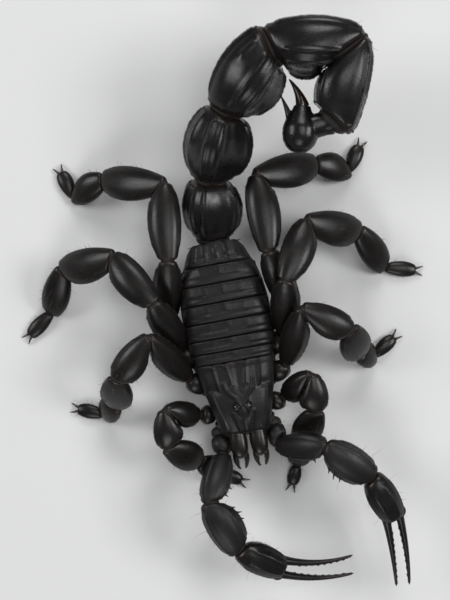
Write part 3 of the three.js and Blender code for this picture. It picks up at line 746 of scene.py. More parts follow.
hips = []
for side in SIDES.values():
    for (across, back), (inner_across, inner_back), bulk in zip(HIPS, HIPS_MEET, LEG_BULK):
        inner = trunk(side * inner_across, inner_back, HIP["inner_height"])
        outer = trunk(side * (across + 0.15), back, HIP_HEIGHT)
        hips.append(wedge(inner, outer, HIP["wide"] * bulk, HIP["deep"] * bulk, HIP["sizes"]))
    for inner, outer, *shape in FRONT_LOBES:
        inner, outer = (trunk(side * across, *rest) for across, *rest in (inner, outer))
        hips.append(wedge(inner, outer, *shape))
for part in hips:
    part["grain"] += 0.35
hips += [wedge(trunk(*inner), trunk(*outer), *shape) for inner, outer, *shape in MIDDLE_PLATES]
shelled("hip_plates", hips, belly_look, "shell", ["prosoma_underside"], grain_gap=0.55, grain=0.07, seed=31)

# ---- Belly plates -----------------------------------------------------------------------------------------
# Five smooth plates cover the belly behind the combs. The first four each have a pair of slits, the openings
# of the book lungs, and the last has keels like the back plate above it.

BELLY_EDGES = (16.1, 19.3, 22.6, 26.0, 29.4, 33.2)
BELLY_ARCH = {"inset": 0.45, "sides": 6.3, "across_bend": 0.85, "height_bend": 0.6}
BELLY_PLATE_THICK = 0.3
SLIT = {"across": 0.52, "long": 0.8, "wide": 0.17, "deep": 0.3}
LAST_BELLY_KEELS = [[(1.3, -2.9), (1.2, -0.5)], [(3.0, -2.7), (2.7, -0.6)]]  # across, back from the rear


def belly_surface(share, back):
    """Points on the shallow arch of the belly."""
    turn = share * math.pi / 2
    across = signed_power(np.sin(turn), BELLY_ARCH["across_bend"]) * (half_width(back) - BELLY_ARCH["inset"])
    drop = BELLY_ARCH["sides"] - eased_table(back, BELLY_HEIGHTS)
    return trunk(across, back, BELLY_ARCH["sides"] - np.cos(turn).clip(0) ** BELLY_ARCH["height_bend"] * drop)


for number, (front, rear) in enumerate(zip(BELLY_EDGES, BELLY_EDGES[1:]), 3):
    share, back = np.meshgrid(np.linspace(-1, 1, 81), np.linspace(front - 0.5, rear - 0.1, 34))
    along = (back - front) / (rear - front)
    last = rear == BELLY_EDGES[-1]
    bow = -1.5 if last else 0.25  # the last plate has rounded rear corners
    lower = belly_surface(share, back + bow * ease((np.abs(share) - 0.4) / 0.6) * ease(along))
    sunk = 0.45 * ease((0.18 - along) / 0.3) - 0.06 * ease((along - 0.7) / 0.2)
    if last:
        for line in LAST_BELLY_KEELS:
            sunk = sunk - ridge(np.abs(share) * 7, back, np.array(line) + (0, rear), 0.2, 0.3)
    else:
        x = (np.abs(share) - SLIT["across"]) * half_width(back)
        y = back - (front + rear) / 2 - 0.3 * x
        sunk = sunk + SLIT["deep"] * hump(x, SLIT["long"]) * hump(y, SLIT["wide"])
    parts = [plate(lower - normals_of(lower) * sunk[..., None], BELLY_PLATE_THICK, 0.12 * ease(along))]
    shelled(f"belly_plate_{number}", parts, belly_look, "shell", [], grain=0.06, seed=40 + number)

# ---- Combs ------------------------------------------------------------------------------------------------
# A pair of comb-shaped feelers lies flat behind the breastplate and sweeps the ground. Each is a jointed
# brown shaft with a row of rounded beads behind it and a row of soft blunt teeth behind those.

COMB = {"across": 1.5, "back": 15.4, "height": 2.6, "length": 7.6, "sweep": 52, "shaft": 0.8, "deep": 0.55}
COMB_TEETH = 24
COMB_BEAD_GAP = 0.42

comb_look = cuticle(
    "brown_comb_cuticle",
    deep=(0.035, 0.020, 0.012),
    warm=(0.085, 0.052, 0.030),
    edge=(0.12, 0.08, 0.05),
    rough=(0.34, 0.5),
    pits={"deep": 0.02, "scale": 2400.0},
)


def shape_of(tree, given):
    """The mesh of the object that a tree makes copies of."""
    return wired(tree, "GeometryNodeObjectInfo", {"Object": given["Shape"]}).outputs["Geometry"]


def row_tree():
    """Stands copies of a shape along a line of points, each pointing out from it."""
    tree, given = new_tree("row_of_shapes", {"Line": "Geometry", "Spacing": "Float", "Shape": "Object"})
    spots = spots_along(tree, given["Line"], given["Spacing"])
    size = times(tree, named(tree, "row"), random_between(tree, 0.9, 1.08, given["Seed"]))
    turn = standing(tree, named(tree, "out", "FLOAT_VECTOR"))
    copies = copies_on(tree, spots, shape_of(tree, given), turn, size)
    return end_tree(tree, given, made_real(tree, copies))


shape_rows = row_tree()


def pattern(name, part):
    """An object that only lends its shape to copies. It is one metre for each millimetre of the part."""
    mesh = bpy.data.meshes.new(name)
    faces = [face for group in part["faces"] for face in group.tolist()]
    mesh.from_pydata(part["points"].tolist(), [], faces)
    return placed(name, mesh)


def shapes_along(name, line, shape, gap, seed):
    """A finished piece of a comb: one shape repeated along a row."""
    sizes = {"spacing": gap * MM, "shape": shape, "seed": seed, "finish": comb_look}
    on_the_body(grown(name, raw_mesh(name, [line]), shape_rows, **sizes))


def blunt_rod(wide, sizes):
    """A short rounded rod one unit long, standing on the origin."""
    return wedge(np.zeros(3), np.array((0.0, 0.001, 1.0)), wide, wide, sizes, cols=7, rows=7, corner=2.0)


tooth_shape = pattern("comb_tooth_shape", blunt_rod(0.3, (0.75, 0.7, 1, 1)))
bead_shape = pattern("comb_bead_shape", blunt_rod(0.8, (1, 1, 1)))
for name, side in SIDES.items():
    root = trunk(side * COMB["across"], COMB["back"], COMB["height"])
    way = towards(TRUNK_TURN + side * (180 - COMB["sweep"]))
    rearward = unit(BACKWARD - way * (BACKWARD @ way))
    shaft = []
    for k in range(3):
        start, end = (root + way * COMB["length"] * share for share in (k / 3 + 0.015, (k + 1) / 3 - 0.01))
        thin = 1 - 0.22 * k
        shaft.append(wedge(start, end, COMB["shaft"] * thin, COMB["deep"] * thin, (0.9, 1, 0.95)))
    shelled(f"{name}_comb_shaft", shaft, comb_look, "comb", [f"comb_{name}"], seed=50)
    reach = np.linspace(0.03, 0.97, 40)[:, None]
    line = root + way * COMB["length"] * reach + rearward * (0.42 - 0.1 * reach)
    teeth_out, beads_out = unit(rearward - 0.12 * UP), unit(rearward * 0.3 - UP)
    teeth = beaded(line, teeth_out, 0.95 - 0.25 * reach[:, 0])
    beads = beaded(line - rearward * 0.12 - UP * 0.05, beads_out, 0.3 - 0.08 * reach[:, 0])
    shapes_along(f"{name}_comb_teeth", teeth, tooth_shape, COMB["length"] / COMB_TEETH, 51)
    shapes_along(f"{name}_comb_beads", beads, bead_shape, COMB_BEAD_GAP, 52)
for shape in (tooth_shape, bead_shape):
    bpy.data.objects.remove(shape)

# ---- Mouth pincers ----------------------------------------------------------------------------------------
# Two stout, smooth pincers stick out from under the front edge of the shield. Each ends in two short hooked
# fingers with teeth, redder than the rest, that chew the prey.

CHELICERA = {"across": 1.75, "start": 0.35, "height": 8.3, "length": 4.1, "wide": 3.1, "deep": 2.9}
CHELICERA_SIZES = (0.9, 0.95, 1, 1, 0.96, 0.84, 0.55)
CHELICERA_FINGER = {"bow": 0.3, "thick": 1.35, "tip": 0.32}

mouth_look = cuticle(
    "smooth_black_cuticle",
    deep=(0.0035, 0.0032, 0.0032),
    warm=(0.0095, 0.0068, 0.0052),
    edge=(0.042, 0.020, 0.010),
    rough=(0.22, 0.32),
    pits={"deep": 0.01, "scale": 4200.0},
)


def bowed(start, end, bow_way, bow, share):
    """Points at shares of the way from a start to an end, on a line that bows to one side."""
    return start + share[:, None] * (end - start) + (4 * bow * share * (1 - share))[:, None] * bow_way


def tapered(share, thick, tip):
    """How thick a claw is at shares of its length."""
    return thick + (tip - thick) * share**0.85


def hook(start, end, bow_way, bow, thick, tip, flare=0.0, rows=26, cols=16, flat=1.0):
    """A claw, finger or sting: it thins from its root to a rounded tip and bows to one side on the way."""
    share = 1 - (1 - np.linspace(0, 1, rows)) ** 1.5
    size = tapered(share, thick, tip) + flare * np.exp(-share / 0.07)
    size = size * np.sqrt(1 - (1 - ease((1 - share) / 0.06)) ** 2 * 0.85)
    across, top = frame_round(unit(end - start))
    part = turned(bowed(start, end, bow_way, bow, share), across, top, 1.0, flat, size, cols)
    part["worn"][:-2] = np.repeat(ease((share - 0.35) / 0.6), cols) * 0.7
    return part


def teeth_between(start, end, bow_way, bow, thick, tip, first, last):
    """A line for small teeth on the inner edge of a hooked finger. They point against its bow."""
    share = np.linspace(first, last, 44)
    inset = tapered(share, thick, tip)[:, None] / 2 * 0.95
    return bowed(start, end, bow_way, bow, share) - bow_way * inset


sideways = frame_round(FORWARD)[0]
for name, side in SIDES.items():
    root, front = (
        trunk(side * CHELICERA["across"], back, CHELICERA["height"])
        for back in (0.6, -CHELICERA["start"] - CHELICERA["length"])
    )
    body = wedge(root, front, CHELICERA["wide"], CHELICERA["deep"], CHELICERA_SIZES, 40, 40)
    body["worn"][:-2] = np.repeat(ease((np.linspace(0, 1, 40) - 0.62) / 0.3), 40) * 0.6
    parts = [body]
    for edge in (1, -1):
        out = sideways * edge
        knuckle = front - FORWARD * 0.85 + out * CHELICERA["wide"] * 0.24 - UP * 0.1
        point = knuckle + FORWARD * 2.65 - UP * 0.75 - out * 0.25
        parts.append(hook(knuckle, point, out, **CHELICERA_FINGER, flat=1.15))
        line = teeth_between(knuckle, point, out, **CHELICERA_FINGER, first=0.45, last=0.95)
        parts.append(beaded(line, -out, 0.15))
    shelled(f"{name}_mouth_pincer", parts, mouth_look, "shell", [f"chelicera_{name}"], row_gap=0.3, seed=60)

# ---- Tail -------------------------------------------------------------------------------------------------
# Five heavy rings of cuticle, each one piece all round, jointed like a chain. Beaded keels run along them,
# with a furrow on the upper side. The tail is carried round to the animal's left, with this side inwards.

GAP = 0.4  # the open joint between two limb pieces
TAIL_ROOT = trunk(0, 34.0, 7.9)
TAIL_RINGS = [
    {"long": 10.4, "wide": 9.8, "deep": 8.9, "turn": -178, "pitch": 22, "lean": -20, "necks": (0.62, 0.6)},
    {"long": 12.4, "wide": 11.0, "deep": 10.2, "turn": 167, "pitch": 24, "lean": -45, "necks": (0.54, 0.54)},
    {"long": 13.2, "wide": 11.6, "deep": 11.0, "turn": 143, "pitch": 17, "lean": -70, "necks": (0.54, 0.62)},
    {"long": 12.7, "wide": 10.2, "deep": 9.6, "turn": 88, "pitch": 3, "lean": -80, "necks": (0.66, 0.64)},
    {"long": 12.2, "wide": 9.2, "deep": 8.9, "turn": -13, "pitch": -8, "lean": -85, "necks": (0.7, 0.8)},
]
BULB_NECK = {"long": 5, "turn": -66, "pitch": 0}
TAIL_SHELL = 0.15  # how far the shell lies inside the full size of a ring, so that the keels end there
TAIL_GRANULES = {"row_gap": 0.32, "grain_gap": 0.4, "grain": 0.085}

# Every keel here and below is (angle from the top, height, spread, bead size, first share, last share).
TAIL_KEELS = [
    (33, 0.5, 5, 0.17, 0.08, 0.99),
    (66, 0.4, 5, 0.14, 0.1, 0.98),
    (132, 0.34, 5, 0.13, 0.06, 0.98),
    (162, 0.3, 4, 0.12, 0.06, 0.98),
]
MIDDLE_KEELS = [(98, 0.3, 5, 0.12, first, 0.96) for first in (0.1, 0.45, 0.6)]  # of the first three rings
LAST_RING_KEELS = [
    (40, 0.32, 6, 0.12, 0.1, 0.95),
    (128, 0.5, 6, 0.18, 0.05, 1.0),
    (156, 0.22, 5, 0.11, 0.08, 0.6),
]
LAST_RING_UNDER_KEEL = (180, 0.32, 5, 0.13, 0.06, 0.98)

PLAIN_LIMB = {
    "necks": (0.58, 0.58),  # the sizes of its two mouths, as shares of its full size
    "lean": 0.0,  # how far its top leans to its left, in degrees
    "full_at": 0.55,  # the share of its length at which it is fullest
    "corner": 2.3,
    "keels": (),
    "furrow": 0.0,  # the depth of the furrow along its top
    "lip": 0.45,  # the length over which its rim rounds in
    "over": 0.55,  # how far a mouth may reach past its joint at a sharp bend
}

tail_look = cuticle(
    "glossy_tail_cuticle",
    deep=(0.0028, 0.0028, 0.0032),
    warm=(0.0075, 0.006, 0.0055),
    edge=(0.026, 0.014, 0.008),
    rough=(0.22, 0.33),
    pits={"deep": 0.012, "scale": 5200.0},
)


def chain(start, lengths, turns, pitches):
    """Joint points from a start, with a length, a heading and a pitch for each piece."""
    points = [start]
    for length, turn, pitch in zip(lengths, turns, pitches):
        points.append(points[-1] + length * towards(turn, pitch))
    return points


def joint_plane(points, i):
    """A joint's point and the direction straight through it, half way between its two pieces."""
    ways = [unit(b - a) for a, b in zip(points[max(i - 1, 0) : i + 1], points[max(i, 1) : i + 2])]
    return points[i], unit(sum(ways))


def limb(points, i, wide, deep, **shape):
    """The facts of the limb piece between joints i and i + 1."""
    piece = {**PLAIN_LIMB, **shape, "wide": wide, "deep": deep, "start": points[i]}
    piece["length"] = np.linalg.norm(points[i + 1] - points[i])
    piece["axis"] = unit(points[i + 1] - points[i])
    piece["across"], piece["top"] = frame_round(piece["axis"], piece["lean"])
    piece["planes"] = (joint_plane(points, i), joint_plane(points, i + 1))
    return piece


def outline(piece, angle):
    """The distances across and over of the full outline of a limb piece, at angles from its top."""
    return oval(angle, piece["wide"], piece["deep"], piece["corner"])


def mouth_at(piece, end, angle):
    """Where the mouth of a limb piece lies along it: on the plane of its joint, or short of a sharp bend."""
    joint, way = piece["planes"][end]
    x, y = outline(piece, angle)
    tilt = piece["necks"][end] * (x * (piece["across"] @ way) + y * (piece["top"] @ way))
    past = (piece["start"] - joint) @ way + tilt + (GAP / 2 if end else -GAP / 2)
    t = -past / (piece["length"] * (piece["axis"] @ way))
    reach = piece["over"] / piece["length"]
    return np.minimum(t, 1 + reach) if end else np.maximum(t, -reach)


def both_mouths(piece, angle):
    """Where both mouths of a piece lie at an angle, as shares of its length."""
    return mouth_at(piece, 0, angle), mouth_at(piece, 1, angle)


def spine_at(piece, t):
    """Points on the middle line of a limb piece."""
    return piece["start"] + (t * piece["length"])[..., None] * piece["axis"]


def limb_points(piece, t, angle):
    """Points on a limb piece, at places t along it (0 and 1 at its joints) and angles round from its top."""
    t, angle = np.broadcast_arrays(t, angle)
    near, far = both_mouths(piece, angle)
    share = np.clip((t - near) / (far - near), 0, 1)
    swell = np.sin(math.pi * share ** (math.log(0.5) / math.log(piece["full_at"]))).clip(0) ** 0.7
    neck = np.interp(share, (0, 1), piece["necks"])
    x, y = (reach * (neck + (1 - neck) * swell) for reach in outline(piece, angle))

    def off(middle):
        """How far round from a middle angle each point lies."""
        return (angle - middle + math.pi) % (2 * math.pi) - math.pi

    rise = -piece["furrow"] * hump(off(0), 0.36) * ease(share / 0.2)
    for at, height, spread, _, first, last in piece["keels"]:
        fade = ease((share - first) / 0.12) * ease((last - share) / 0.08)
        rise = rise + height * fade * hump(off(math.radians(at)), math.radians(spread))
    grow = (1 + rise / np.maximum(np.hypot(x, y), 0.3))[..., None]
    return spine_at(piece, t) + grow * (x[..., None] * piece["across"] + y[..., None] * piece["top"])


def limb_skin(piece, rows, cols, grain):
    """A closed shell for a limb piece: rounded in at both ends to meet the joint skin."""
    angle = np.linspace(0, 2 * math.pi, cols, endpoint=False)
    near, far = both_mouths(piece, angle)
    t = near + (1 - np.cos(np.linspace(0, math.pi, rows)))[:, None] / 2 * (far - near)
    from_rim = np.minimum(t - near, far - t) * piece["length"]
    shrink = 0.84 + 0.16 * np.sqrt(1 - (1 - np.clip(from_rim / piece["lip"], 0, 1)) ** 2)
    spine = spine_at(piece, t)
    grid = spine + (limb_points(piece, t, angle) - spine) * shrink[..., None]
    near_middle, far_middle = grid[[0, -1]].mean(axis=1, keepdims=True)
    near_lid = [near_middle + (grid[0] - near_middle) * size for size in (0.45, 0.8)]
    far_lid = [far_middle + (grid[-1] - far_middle) * size for size in (0.8, 0.45)]
    skin = closed_skin(np.stack([*near_lid, *grid, *far_lid]))
    away = np.concatenate([[0, 0], from_rim.mean(axis=1), [0, 0]])
    skin["worn"][:-2] = np.repeat(np.exp(-away / 0.35), cols)
    skin["grain"][:-2] = np.repeat(grain * ease((away - 0.5) / 1.2), cols)
    return skin


def limb_row(piece, t, angle, sizes):
    """Beads along a line on a limb piece."""
    points = limb_points(piece, t, angle)
    forward = limb_points(piece, t + 0.01, angle) - points
    out = unit(np.cross(forward, limb_points(piece, t, angle + 0.02) - points) * -1)
    return beaded(points, out, sizes)


def keel_rows(piece):
    """The beads on the keels of a limb piece, larger towards its far end."""
    rows = []
    for at, _, _, bead, first, last in piece["keels"]:
        angle = np.full(60, math.radians(at))
        near, far = both_mouths(piece, angle)
        room = 0.6 / piece["length"] / (far[0] - near[0])
        share = np.linspace(max(first + 0.05, room), min(last - 0.03, 1 - room), 60)
        rows.append(limb_row(piece, near + share * (far - near), angle, bead * (0.75 + 0.4 * share)))
    return rows


def rim_row(piece, end, inset, bead):
    """A ring of beads a little way inside one end of a limb piece."""
    around = np.linspace(0, 2 * math.pi, 90)
    t = mouth_at(piece, end, around) + (-inset if end else inset) / piece["length"]
    return limb_row(piece, t, around, bead)


def joint_sleeve(before, after, reach, cols, fill):
    """The wrinkled skin between two limb pieces. It fills a share of their mouths and reaches in behind."""
    angle = np.linspace(0, 2 * math.pi, cols, endpoint=False)
    rings = []
    for piece, end in ((before, 1), (after, 0)):
        mouth = mouth_at(piece, end, angle)
        inside = mouth + (-reach if end else reach) / piece["length"]
        for t, shrink in ((inside, 0.74), (mouth, fill)):
            spine = spine_at(piece, t)
            rings.append(spine + (limb_points(piece, t, angle) - spine) * shrink)
    rings = [rings[0], rings[1], rings[3], rings[2]]
    places = np.linspace(0, 3, 13)
    grid = np.stack([sum(max(0, 1 - abs(at - k)) * ring for k, ring in enumerate(rings)) for at in places])
    middle = grid.mean(axis=1, keepdims=True)
    creases = 1 + 0.035 * np.cos(places * 2 * math.pi * 1.3)[:, None, None]
    return closed_skin(middle + (grid - middle) * creases)


def sleeves(pieces, reach, cols, fill=0.8):
    """The joint skin between the pieces of one limb."""
    return [joint_sleeve(before, after, reach, cols, fill) for before, after in zip(pieces, pieces[1:])]


def joint_ball(points, i, wide, deep, long):
    """The wrinkled ball of skin inside a joint."""
    centre, way = joint_plane(points, i)
    angle = np.linspace(0.05, math.pi - 0.05, 25)
    profile = np.sin(angle) ** 0.7 * (1 + 0.045 * np.sin(angle * 22))
    return turned(centre - np.cos(angle)[:, None] * long * way, *frame_round(way), wide, deep, profile, 30)


def mirrored(keels):
    """Keels on both sides of a piece, from those on one side."""
    return [(side * at, *rest) for at, *rest in keels for side in (1, -1)]


tail_facts = [[ring[key] for ring in (*TAIL_RINGS, BULB_NECK)] for key in ("long", "turn", "pitch")]
tail = chain(TAIL_ROOT, *tail_facts)
tail_pieces = []
for number, ring in enumerate(TAIL_RINGS, 1):
    last = number == len(TAIL_RINGS)
    wide, deep = (ring[key] - 2 * TAIL_SHELL for key in ("wide", "deep"))
    keels = mirrored(LAST_RING_KEELS if last else TAIL_KEELS + MIDDLE_KEELS[number - 1 : number])
    piece = limb(
        tail,
        number - 1,
        wide,
        deep,
        necks=ring["necks"],
        lean=ring["lean"],
        full_at=0.52,
        corner=2.5,
        keels=keels + [LAST_RING_UNDER_KEEL] if last else keels,
        furrow=0.25 if last else 0.5,
        lip=1.0,
        over=2.2,
    )
    tail_pieces.append(piece)
    rims = [rim_row(piece, 1, inset=0.55, bead=0.13), rim_row(piece, 0, inset=0.6, bead=0.07)]
    parts = [limb_skin(piece, rows=84, cols=108, grain=0.75), *keel_rows(piece), *rims]
    name, node = f"tail_ring_{number}", f"tail_segment_{number}"
    shelled(name, parts, tail_look, "shell", [node], **TAIL_GRANULES, seed=70 + number)

tail_skin = sleeves(tail_pieces, reach=0.9, cols=60, fill=0.91)
tail_skin.append(joint_ball(tail, 0, wide=5.8, deep=5.2, long=1.3))
tail_skin.append(joint_ball(tail, 5, wide=5.6, deep=5.6, long=1.2))
shelled("tail_joint_skin", tail_skin, skin_look, "membrane", [])

# ---- Sting ------------------------------------------------------------------------------------------------
# The last piece is the poison bulb, folded back inside the curl of the tail. It runs out into the curved
# sting, which is dark polished horn, and a blunt tooth stands on the bulb beside the root of the sting.

BULB = {"length": 7.8, "wide": 5.6, "deep": 5.9, "neck": 3.6, "aside": 5.15, "along": 1.7, "turn": 176}
STING = {"length": 4.9, "turn": 30}
STING_SHAPE = {"bow": 0.5, "thick": 2.7, "tip": 0.28}
TOOTH = {"length": 3.9, "turn": 24, "aside": 2.0, "along": -2.2}
TOOTH_SHAPE = {"bow": 0.25, "thick": 1.9, "tip": 0.34, "flare": 0.4}
BULB_KEELS = (35, 75, 105, 145)  # angles from its top, on one side
BULB_SMOOTHING = {"cell": 0.11, "passes": 14}
BULB_GRANULES = {"row_gap": 0.4, "grain_gap": 0.55, "grain": 0.1}

horn_look, tree, shader, place = blank_material("polished_dark_horn")
streaks = mottle(tree, place, 700.0, 4.0)
horn = blend(tree, streaks, (0.005, 0.004, 0.004), (0.030, 0.014, 0.008))
scratches = wired(tree, "ShaderNodeBump", {"Height": streaks, "Distance": 0.02 * MM}).outputs["Normal"]
feed(tree, shader, {"Base Color": horn, "Normal": scratches, "Roughness": 0.2})
feed(tree, shader, {"Coat Weight": 0.3, "Coat Roughness": 0.08})


def run_together(parts, cell, passes):
    """One smooth skin over closed parts that reach into each other, in cells of a given size."""
    counts = np.cumsum([0] + [len(part["points"]) for part in parts])
    faces = [group + count for part, count in zip(parts, counts) for group in part["faces"]]
    lump = pattern("lump", {"points": np.concatenate([part["points"] for part in parts]), "faces": faces})
    cells = lump.modifiers.new("cells", "REMESH")
    cells.mode = "VOXEL"
    cells.voxel_size = cell
    smooth = lump.modifiers.new("smooth", "SMOOTH")
    smooth.iterations = passes
    mesh = evaluated_mesh(lump)
    bpy.data.objects.remove(lump)
    points = np.array([corner.co for corner in mesh.vertices])
    return part_of(points, [np.array([face.vertices[:] for face in mesh.polygons])])


bulb_way = towards(BULB["turn"])
bulb_across, bulb_top = frame_round(bulb_way)
bulb_middle = tail[5] + bulb_across * BULB["aside"] - bulb_way * BULB["along"]
share = (1 - np.cos(np.linspace(0, math.pi, 60))) / 2
fullness = np.sqrt(1 - (1 - np.clip(share / 0.42, 0, 1)) ** 2) * (1 - 0.55 * ease((share - 0.5) / 0.56))
spine = bulb_middle + (share - 0.5)[:, None] * BULB["length"] * bulb_way
bulb = turned(spine, bulb_across, bulb_top, BULB["deep"], BULB["wide"], fullness.clip(0.02), 72, 2.1)
neck_root = tail[5] - unit(bulb_middle - tail[5]) * 0.3
neck = wedge(neck_root, bulb_middle, BULB["neck"], BULB["neck"], (1.2, 1.08, 1.15, 1.3), 36, 36)

tip = bulb_middle + bulb_way * BULB["length"] / 2
tooth_root = tip + bulb_way * TOOTH["along"] + bulb_across * TOOTH["aside"]
tooth_heel = tooth_root - bulb_way * 1.4 - bulb_across * 0.5
tooth_end = tooth_root + TOOTH["length"] * towards(BULB["turn"] + TOOTH["turn"])
tooth = hook(tooth_heel, tooth_end, -bulb_across, **TOOTH_SHAPE)

smooth_bulb = run_together([bulb, neck, tooth], **BULB_SMOOTHING)
along_bulb = (smooth_bulb["points"] - bulb_middle) @ bulb_way / BULB["length"] + 0.5
smooth_bulb["grain"] = 0.5 * ease((0.72 - along_bulb) / 0.4)
bulb_parts = [smooth_bulb]
picked = slice(8, 44, 2)  # the rings of the bulb that its keels cross
for angle in np.radians(BULB_KEELS):
    out = bulb_across * math.sin(angle) + bulb_top * math.cos(angle)
    reach = np.hypot(math.sin(angle) * BULB["deep"], math.cos(angle) * BULB["wide"]) / 2
    line = spine[picked] + out * reach * fullness[picked, None]
    bulb_parts.append(beaded(line, out, 0.13))
shelled("sting_bulb", bulb_parts, tail_look, "shell", ["vesicle"], **BULB_GRANULES, seed=80)

sting_end = tip + STING["length"] * towards(BULB["turn"] + STING["turn"])
point = hook(tip - bulb_way * 0.4, sting_end, -bulb_across, **STING_SHAPE, rows=40, cols=28)
point["worn"] *= 0
shelled("sting_point", [point], horn_look, "sting", ["sting"])

# ---- Pincer arms ------------------------------------------------------------------------------------------
# Each arm is a chain of four cuticle tubes with beaded keels. The last is the swollen hand. Its inner side
# runs out into the fixed finger, and the outer finger is hinged. Fine teeth line the bite of both fingers.

ARM_TUBES = {
    "trochanter": {"long": 3.9, "wide": 3.6, "deep": 3.6, "necks": (0.6, 0.6), "full_at": 0.55, "grain": 0.5},
    "femur": {"long": 9.3, "wide": 4.9, "deep": 4.3, "necks": (0.6, 0.6), "full_at": 0.55, "grain": 0.8},
    "patella": {"long": 9.6, "wide": 6.0, "deep": 4.9, "necks": (0.56, 0.62), "full_at": 0.5, "grain": 0.75},
    "hand": {"long": 8.8, "wide": 5.4, "deep": 4.8, "necks": (0.56, 0.66), "full_at": 0.46, "grain": 0.3},
}
ARM_KEELS = {
    "trochanter": [(58, 0.14, 8, 0.09, 0.2, 0.9)],
    "femur": [
        (48, 0.34, 7, 0.13, 0.06, 0.96),
        (92, 0.16, 8, 0.09, 0.1, 0.9),
        (132, 0.3, 7, 0.12, 0.06, 0.96),
    ],
    "patella": [
        (44, 0.3, 7, 0.11, 0.08, 0.95),
        (86, 0.2, 7, 0.09, 0.1, 0.92),
        (130, 0.3, 7, 0.11, 0.08, 0.95),
    ],
    "hand": [(at, 0.16, 8, 0.07, 0.15, last) for at, last in ((24, 0.95), (72, 0.9), (120, 0.9))],
}
ARM_THORNS = {  # angle from the top to the front, thickness, and places along the tube with their lengths
    "femur": (92, 0.42, {0.25: 0.5, 0.42: 0.5, 0.6: 0.5, 0.76: 0.5}),
    "patella": (80, 0.55, {0.24: 0.75, 0.36: 0.95, 0.5: 0.6}),
}
ARM_TURNS = {"left": (19, 88, 57, 31, 7), "right": (9, -15, 31, 65, 93)}  # of the four tubes and the fingers
ARM_PITCHES = {"left": (26, 36, -12, -12, -8), "right": (22, 30, -8, -11, -6)}
FINGER_GAPES = {"left": 11, "right": 15}
FINGER_BOWS = {"left": (-0.2, 0.4), "right": (-0.9, 0.9)}  # of the fixed and the hinged finger
FINGER = {"long": 12.0, "apart": 1.2, "sunk": 1.6}
FINGER_SHAPE = {"thick": 1.6, "tip": 0.42}
TOOTH_ROWS = 8  # groups of side teeth along each finger
ARM_GRANULES = {"row_gap": 0.3, "grain_gap": 0.36, "grain": 0.08}
HAND_GRANULES = {"row_gap": 0.26, "grain_gap": 0.5, "grain": 0.07}


def thorn(piece, t, at, long, thick):
    """A short thorn on a limb piece that leans towards its far end."""
    root = limb_points(piece, np.array(t), np.radians(at))
    out = unit(root - piece["start"] - t * piece["length"] * piece["axis"])
    end = root + out * long + piece["axis"] * long * 0.5
    return hook(root - out * thick * 0.6, end, out, 0.06, thick, 0.1, rows=12, cols=10)


def finger(root, end, bow_way, bow):
    """The parts of one finger: its horny hook, the teeth along its bite, and groups of teeth beside them."""
    line = teeth_between(root, end, bow_way, bow, **FINGER_SHAPE, first=0.22, last=0.97)
    parts = [hook(root, end, bow_way, bow, **FINGER_SHAPE, flare=0.55, rows=70, cols=30, flat=1.12)]
    parts.append(beaded(line, -bow_way, 0.09))
    for k in range(TOOTH_ROWS):
        group = line[2 + 5 * k : 4 + 5 * k]
        parts += [beaded(group + UP * lift * 0.24, -bow_way, 0.13) for lift in (1, -1)]
    return parts


arm_pieces, arm_skin = [], []
for name, side in SIDES.items():
    root = trunk(side * ARM_ROOT[0], *ARM_ROOT[1:])
    lengths = [tube["long"] for tube in (*ARM_TUBES.values(), FINGER)]
    joints = chain(root, lengths, ARM_TURNS[name], ARM_PITCHES[name])
    wrist = joints[4]
    hand_way = unit(wrist - joints[3])
    outward = frame_round(hand_way)[0] * side
    pieces = []
    for i, (tube, facts) in enumerate(ARM_TUBES.items()):
        shape = {key: facts[key] for key in ("necks", "full_at")}
        wide, deep = facts["wide"] - 0.15, facts["deep"] - 0.15
        pieces.append(limb(joints, i, wide, deep, keels=mirrored(ARM_KEELS[tube]), lip=0.55, **shape))
    hand = pieces[3]
    hand["planes"] = (hand["planes"][0], (wrist, hand_way))
    for i, (tube, piece) in enumerate(zip(ARM_TUBES, pieces[:3])):
        skin = limb_skin(piece, 60, 72, ARM_TUBES[tube]["grain"])
        parts = [skin, *keel_rows(piece), rim_row(piece, 1, inset=0.5, bead=0.08)]
        if tube in ARM_THORNS:
            at, thick, thorns = ARM_THORNS[tube]
            parts += [thorn(piece, t, -at * side, long, thick) for t, long in thorns.items()]
        node = f"arm_{tube}_{name}"
        shelled(f"{name}_arm_{tube}", parts, plate_look, "shell", [node], **ARM_GRANULES, seed=90 + i)

    fingers = []
    for edge, bow in zip((-1, 1), FINGER_BOWS[name]):
        root = wrist + outward * edge * FINGER["apart"] - hand_way * FINGER["sunk"]
        turn = ARM_TURNS[name][4] + edge * side * FINGER_GAPES[name] / 2
        end = wrist + FINGER["long"] * towards(turn, ARM_PITCHES[name][4])
        fingers.append(finger(root, end, frame_round(unit(end - root))[0] * side * edge, bow))
    fixed, hinged = fingers
    hand_parts = [limb_skin(hand, 70, 80, ARM_TUBES["hand"]["grain"]), *keel_rows(hand), *fixed]
    hinged_name, hinged_node = f"{name}_hinged_finger", f"finger_{name}"
    shelled(f"{name}_hand", hand_parts, tail_look, "shell", [f"hand_{name}"], **HAND_GRANULES, seed=95)
    shelled(hinged_name, hinged, tail_look, "shell", [hinged_node], **HAND_GRANULES, seed=96)
    arm_pieces += pieces
    arm_skin.append(joint_ball(joints, 0, wide=3.0, deep=3.0, long=1.1))
    arm_skin += sleeves(pieces, reach=0.8, cols=36)
    hinge = wrist + outward * FINGER["apart"] - hand_way * 0.9
    arm_skin.append(dome(hinge, hand_way, radius=1.15))
shelled("arm_joint_skin", arm_skin, skin_look, "membrane", [])

# ---- Legs -------------------------------------------------------------------------------------------------
# Four pairs of legs, each a hip piece, a flat keeled thigh and knee and three thinner pieces that step down
# to the board. Soft skin shows at the joints, and two small spurs stand beside the last one.

